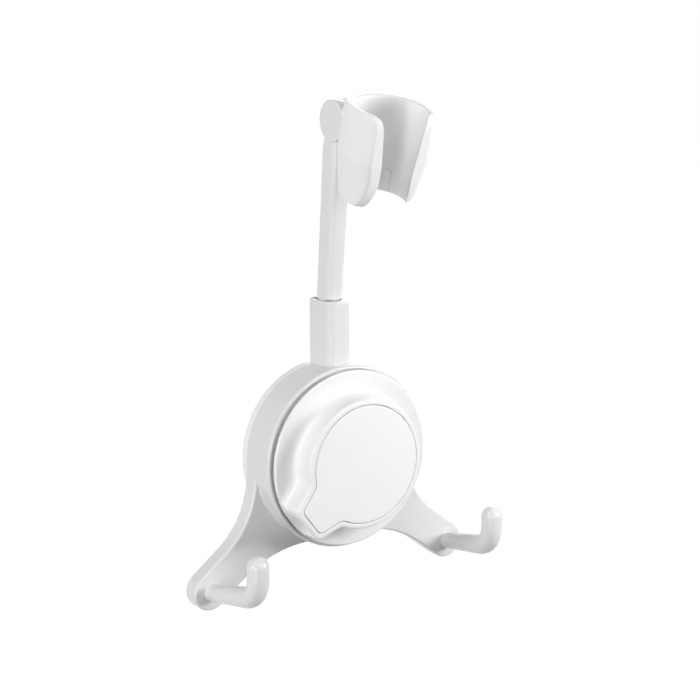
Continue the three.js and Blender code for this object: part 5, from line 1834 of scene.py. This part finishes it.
@dataclass
class Studio:
    """Camera, pale floor, soft lamps and a plain surround."""

    azimuth: float = -33.9
    elevation: float = 12.2
    distance: float = 0.8
    focal_pixels: float = 1771.0
    picture_pixels: float = 700.0
    sensor: float = 36.0
    roll: float = -0.27
    target: Triple = (0.0049, -0.02, 0.0481)
    floor_height: float = -0.8
    floor_half: float = 6.0
    floor_grey: float = 0.5
    floor_lift: float = 0.97
    ambient: float = 0.1

    def camera(self) -> None:
        """Sets the camera at the photograph's angle."""
        data = bpy.data.cameras.new("camera")
        data.sensor_width = self.sensor
        data.lens = self.focal_pixels / self.picture_pixels * self.sensor
        data.clip_start = 0.01
        turn, rise, roll = (math.radians(value) for value in (self.azimuth, self.elevation, self.roll))
        level = math.cos(rise)
        back = Vector((math.sin(turn) * level, -math.cos(turn) * level, math.sin(rise)))
        right = Vector((math.cos(turn), math.sin(turn), 0))
        up = back.cross(right)
        rolled = right * math.cos(roll) + up * math.sin(roll)
        upright = up * math.cos(roll) - right * math.sin(roll)
        facing = Matrix((rolled, upright, back)).transposed().to_4x4()
        camera = linked("camera", data)
        camera.matrix_world = Matrix.Translation(Vector(self.target) + back * self.distance) @ facing
        bpy.context.scene.camera = camera

    def seen(self, graph: Graph) -> bpy.types.NodeSocket:
        """A value of 1 for rays that show the surround, directly or in a gloss."""
        rays = graph.node("ShaderNodeLightPath").outputs
        total = rays["Is Camera Ray"]
        for label in ("Is Glossy Ray", "Is Transmission Ray"):
            either = graph.node("ShaderNodeMath", {0: total, 1: rays[label]}, operation="MAXIMUM")
            total = either.outputs["Value"]
        return total

    def surround(self) -> None:
        """Gives an even pale light, white where it is seen."""
        world = bpy.data.worlds.new("surround")
        world.use_nodes = True
        graph = Graph(world.node_tree)
        light, shown = (
            graph.node("ShaderNodeBackground", {"Color": WHITE, "Strength": strength})
            for strength in (self.ambient, 1.0)
        )
        both = {1: light.outputs["Background"], 2: shown.outputs["Background"]}
        mix = graph.node("ShaderNodeMixShader", {"Fac": self.seen(graph), **both})
        graph.node("ShaderNodeOutputWorld", {"Surface": mix.outputs["Shader"]})
        bpy.context.scene.world = world

    def floor(self) -> None:
        """Lays the pale floor, which keeps the holder's shadow."""
        half = self.floor_half
        mesh = bpy.data.meshes.new("floor")
        spots = [(-half, -half), (half, -half), (half, half), (-half, half)]
        mesh.from_pydata([(x, y, self.floor_height) for x, y in spots], [], [(0, 1, 2, 3)])
        floor = linked("floor", mesh)
        paint = bpy.data.materials.new("pale_floor")
        paint.use_nodes = True
        graph = Graph(paint.node_tree)
        grey = (self.floor_grey, self.floor_grey, self.floor_grey, 1)
        matt = graph.node("ShaderNodeBsdfDiffuse", {"Color": grey})
        lifted = {0: self.seen(graph), 1: self.floor_lift}
        share = graph.node("ShaderNodeMath", lifted, operation="MULTIPLY")
        lift = graph.node("ShaderNodeEmission", {"Color": WHITE, "Strength": share.outputs["Value"]})
        both = graph.node("ShaderNodeAddShader", {0: matt.outputs["BSDF"], 1: lift.outputs["Emission"]})
        graph.node("ShaderNodeOutputMaterial", {"Surface": both.outputs["Shader"]})
        mesh.materials.append(paint)

    def lamps(self) -> list[Lamp]:
        """The soft lamps: a near key on the right, a strip for the edges, softer ones round them."""
        return [
            Lamp("key", (0.45, -0.45, 0.2), (0.3, 0.3), 3.6),
            Lamp("front", (0.1, -1.2, 1.0), (0.7, 0.7), 3.7),
            Lamp("fill", (-1.3, -0.1, 0.25), (0.7, 0.7), 6.0),
            Lamp("top", (-1.0, 0.0, 1.0), (0.7, 0.7), 5.1),
            Lamp("strip", (-0.8, -0.6, -0.1), (0.12, 0.6), 2.8),
            Lamp("rear", (0.9, 0.9, 0.5), (0.8, 0.8), 5.0),
        ]

    def build(self) -> None:
        """Sets the whole stage."""
        bpy.context.scene.view_settings.view_transform = "Standard"
        self.camera()
        self.surround()
        self.floor()
        for lamp in self.lamps():
            lamp.build()


def main() -> None:
    """Builds the stage and every sub-assembly."""
    logging.basicConfig(level=logging.INFO, format="%(name)s: %(message)s")
    for assembly in (Studio(), Bracket(), TwistLock(), Arm(), Cradle()):
        LOG.info("building %s", type(assembly).__name__)
        assembly.build()


if __name__ == "__main__":
    main()
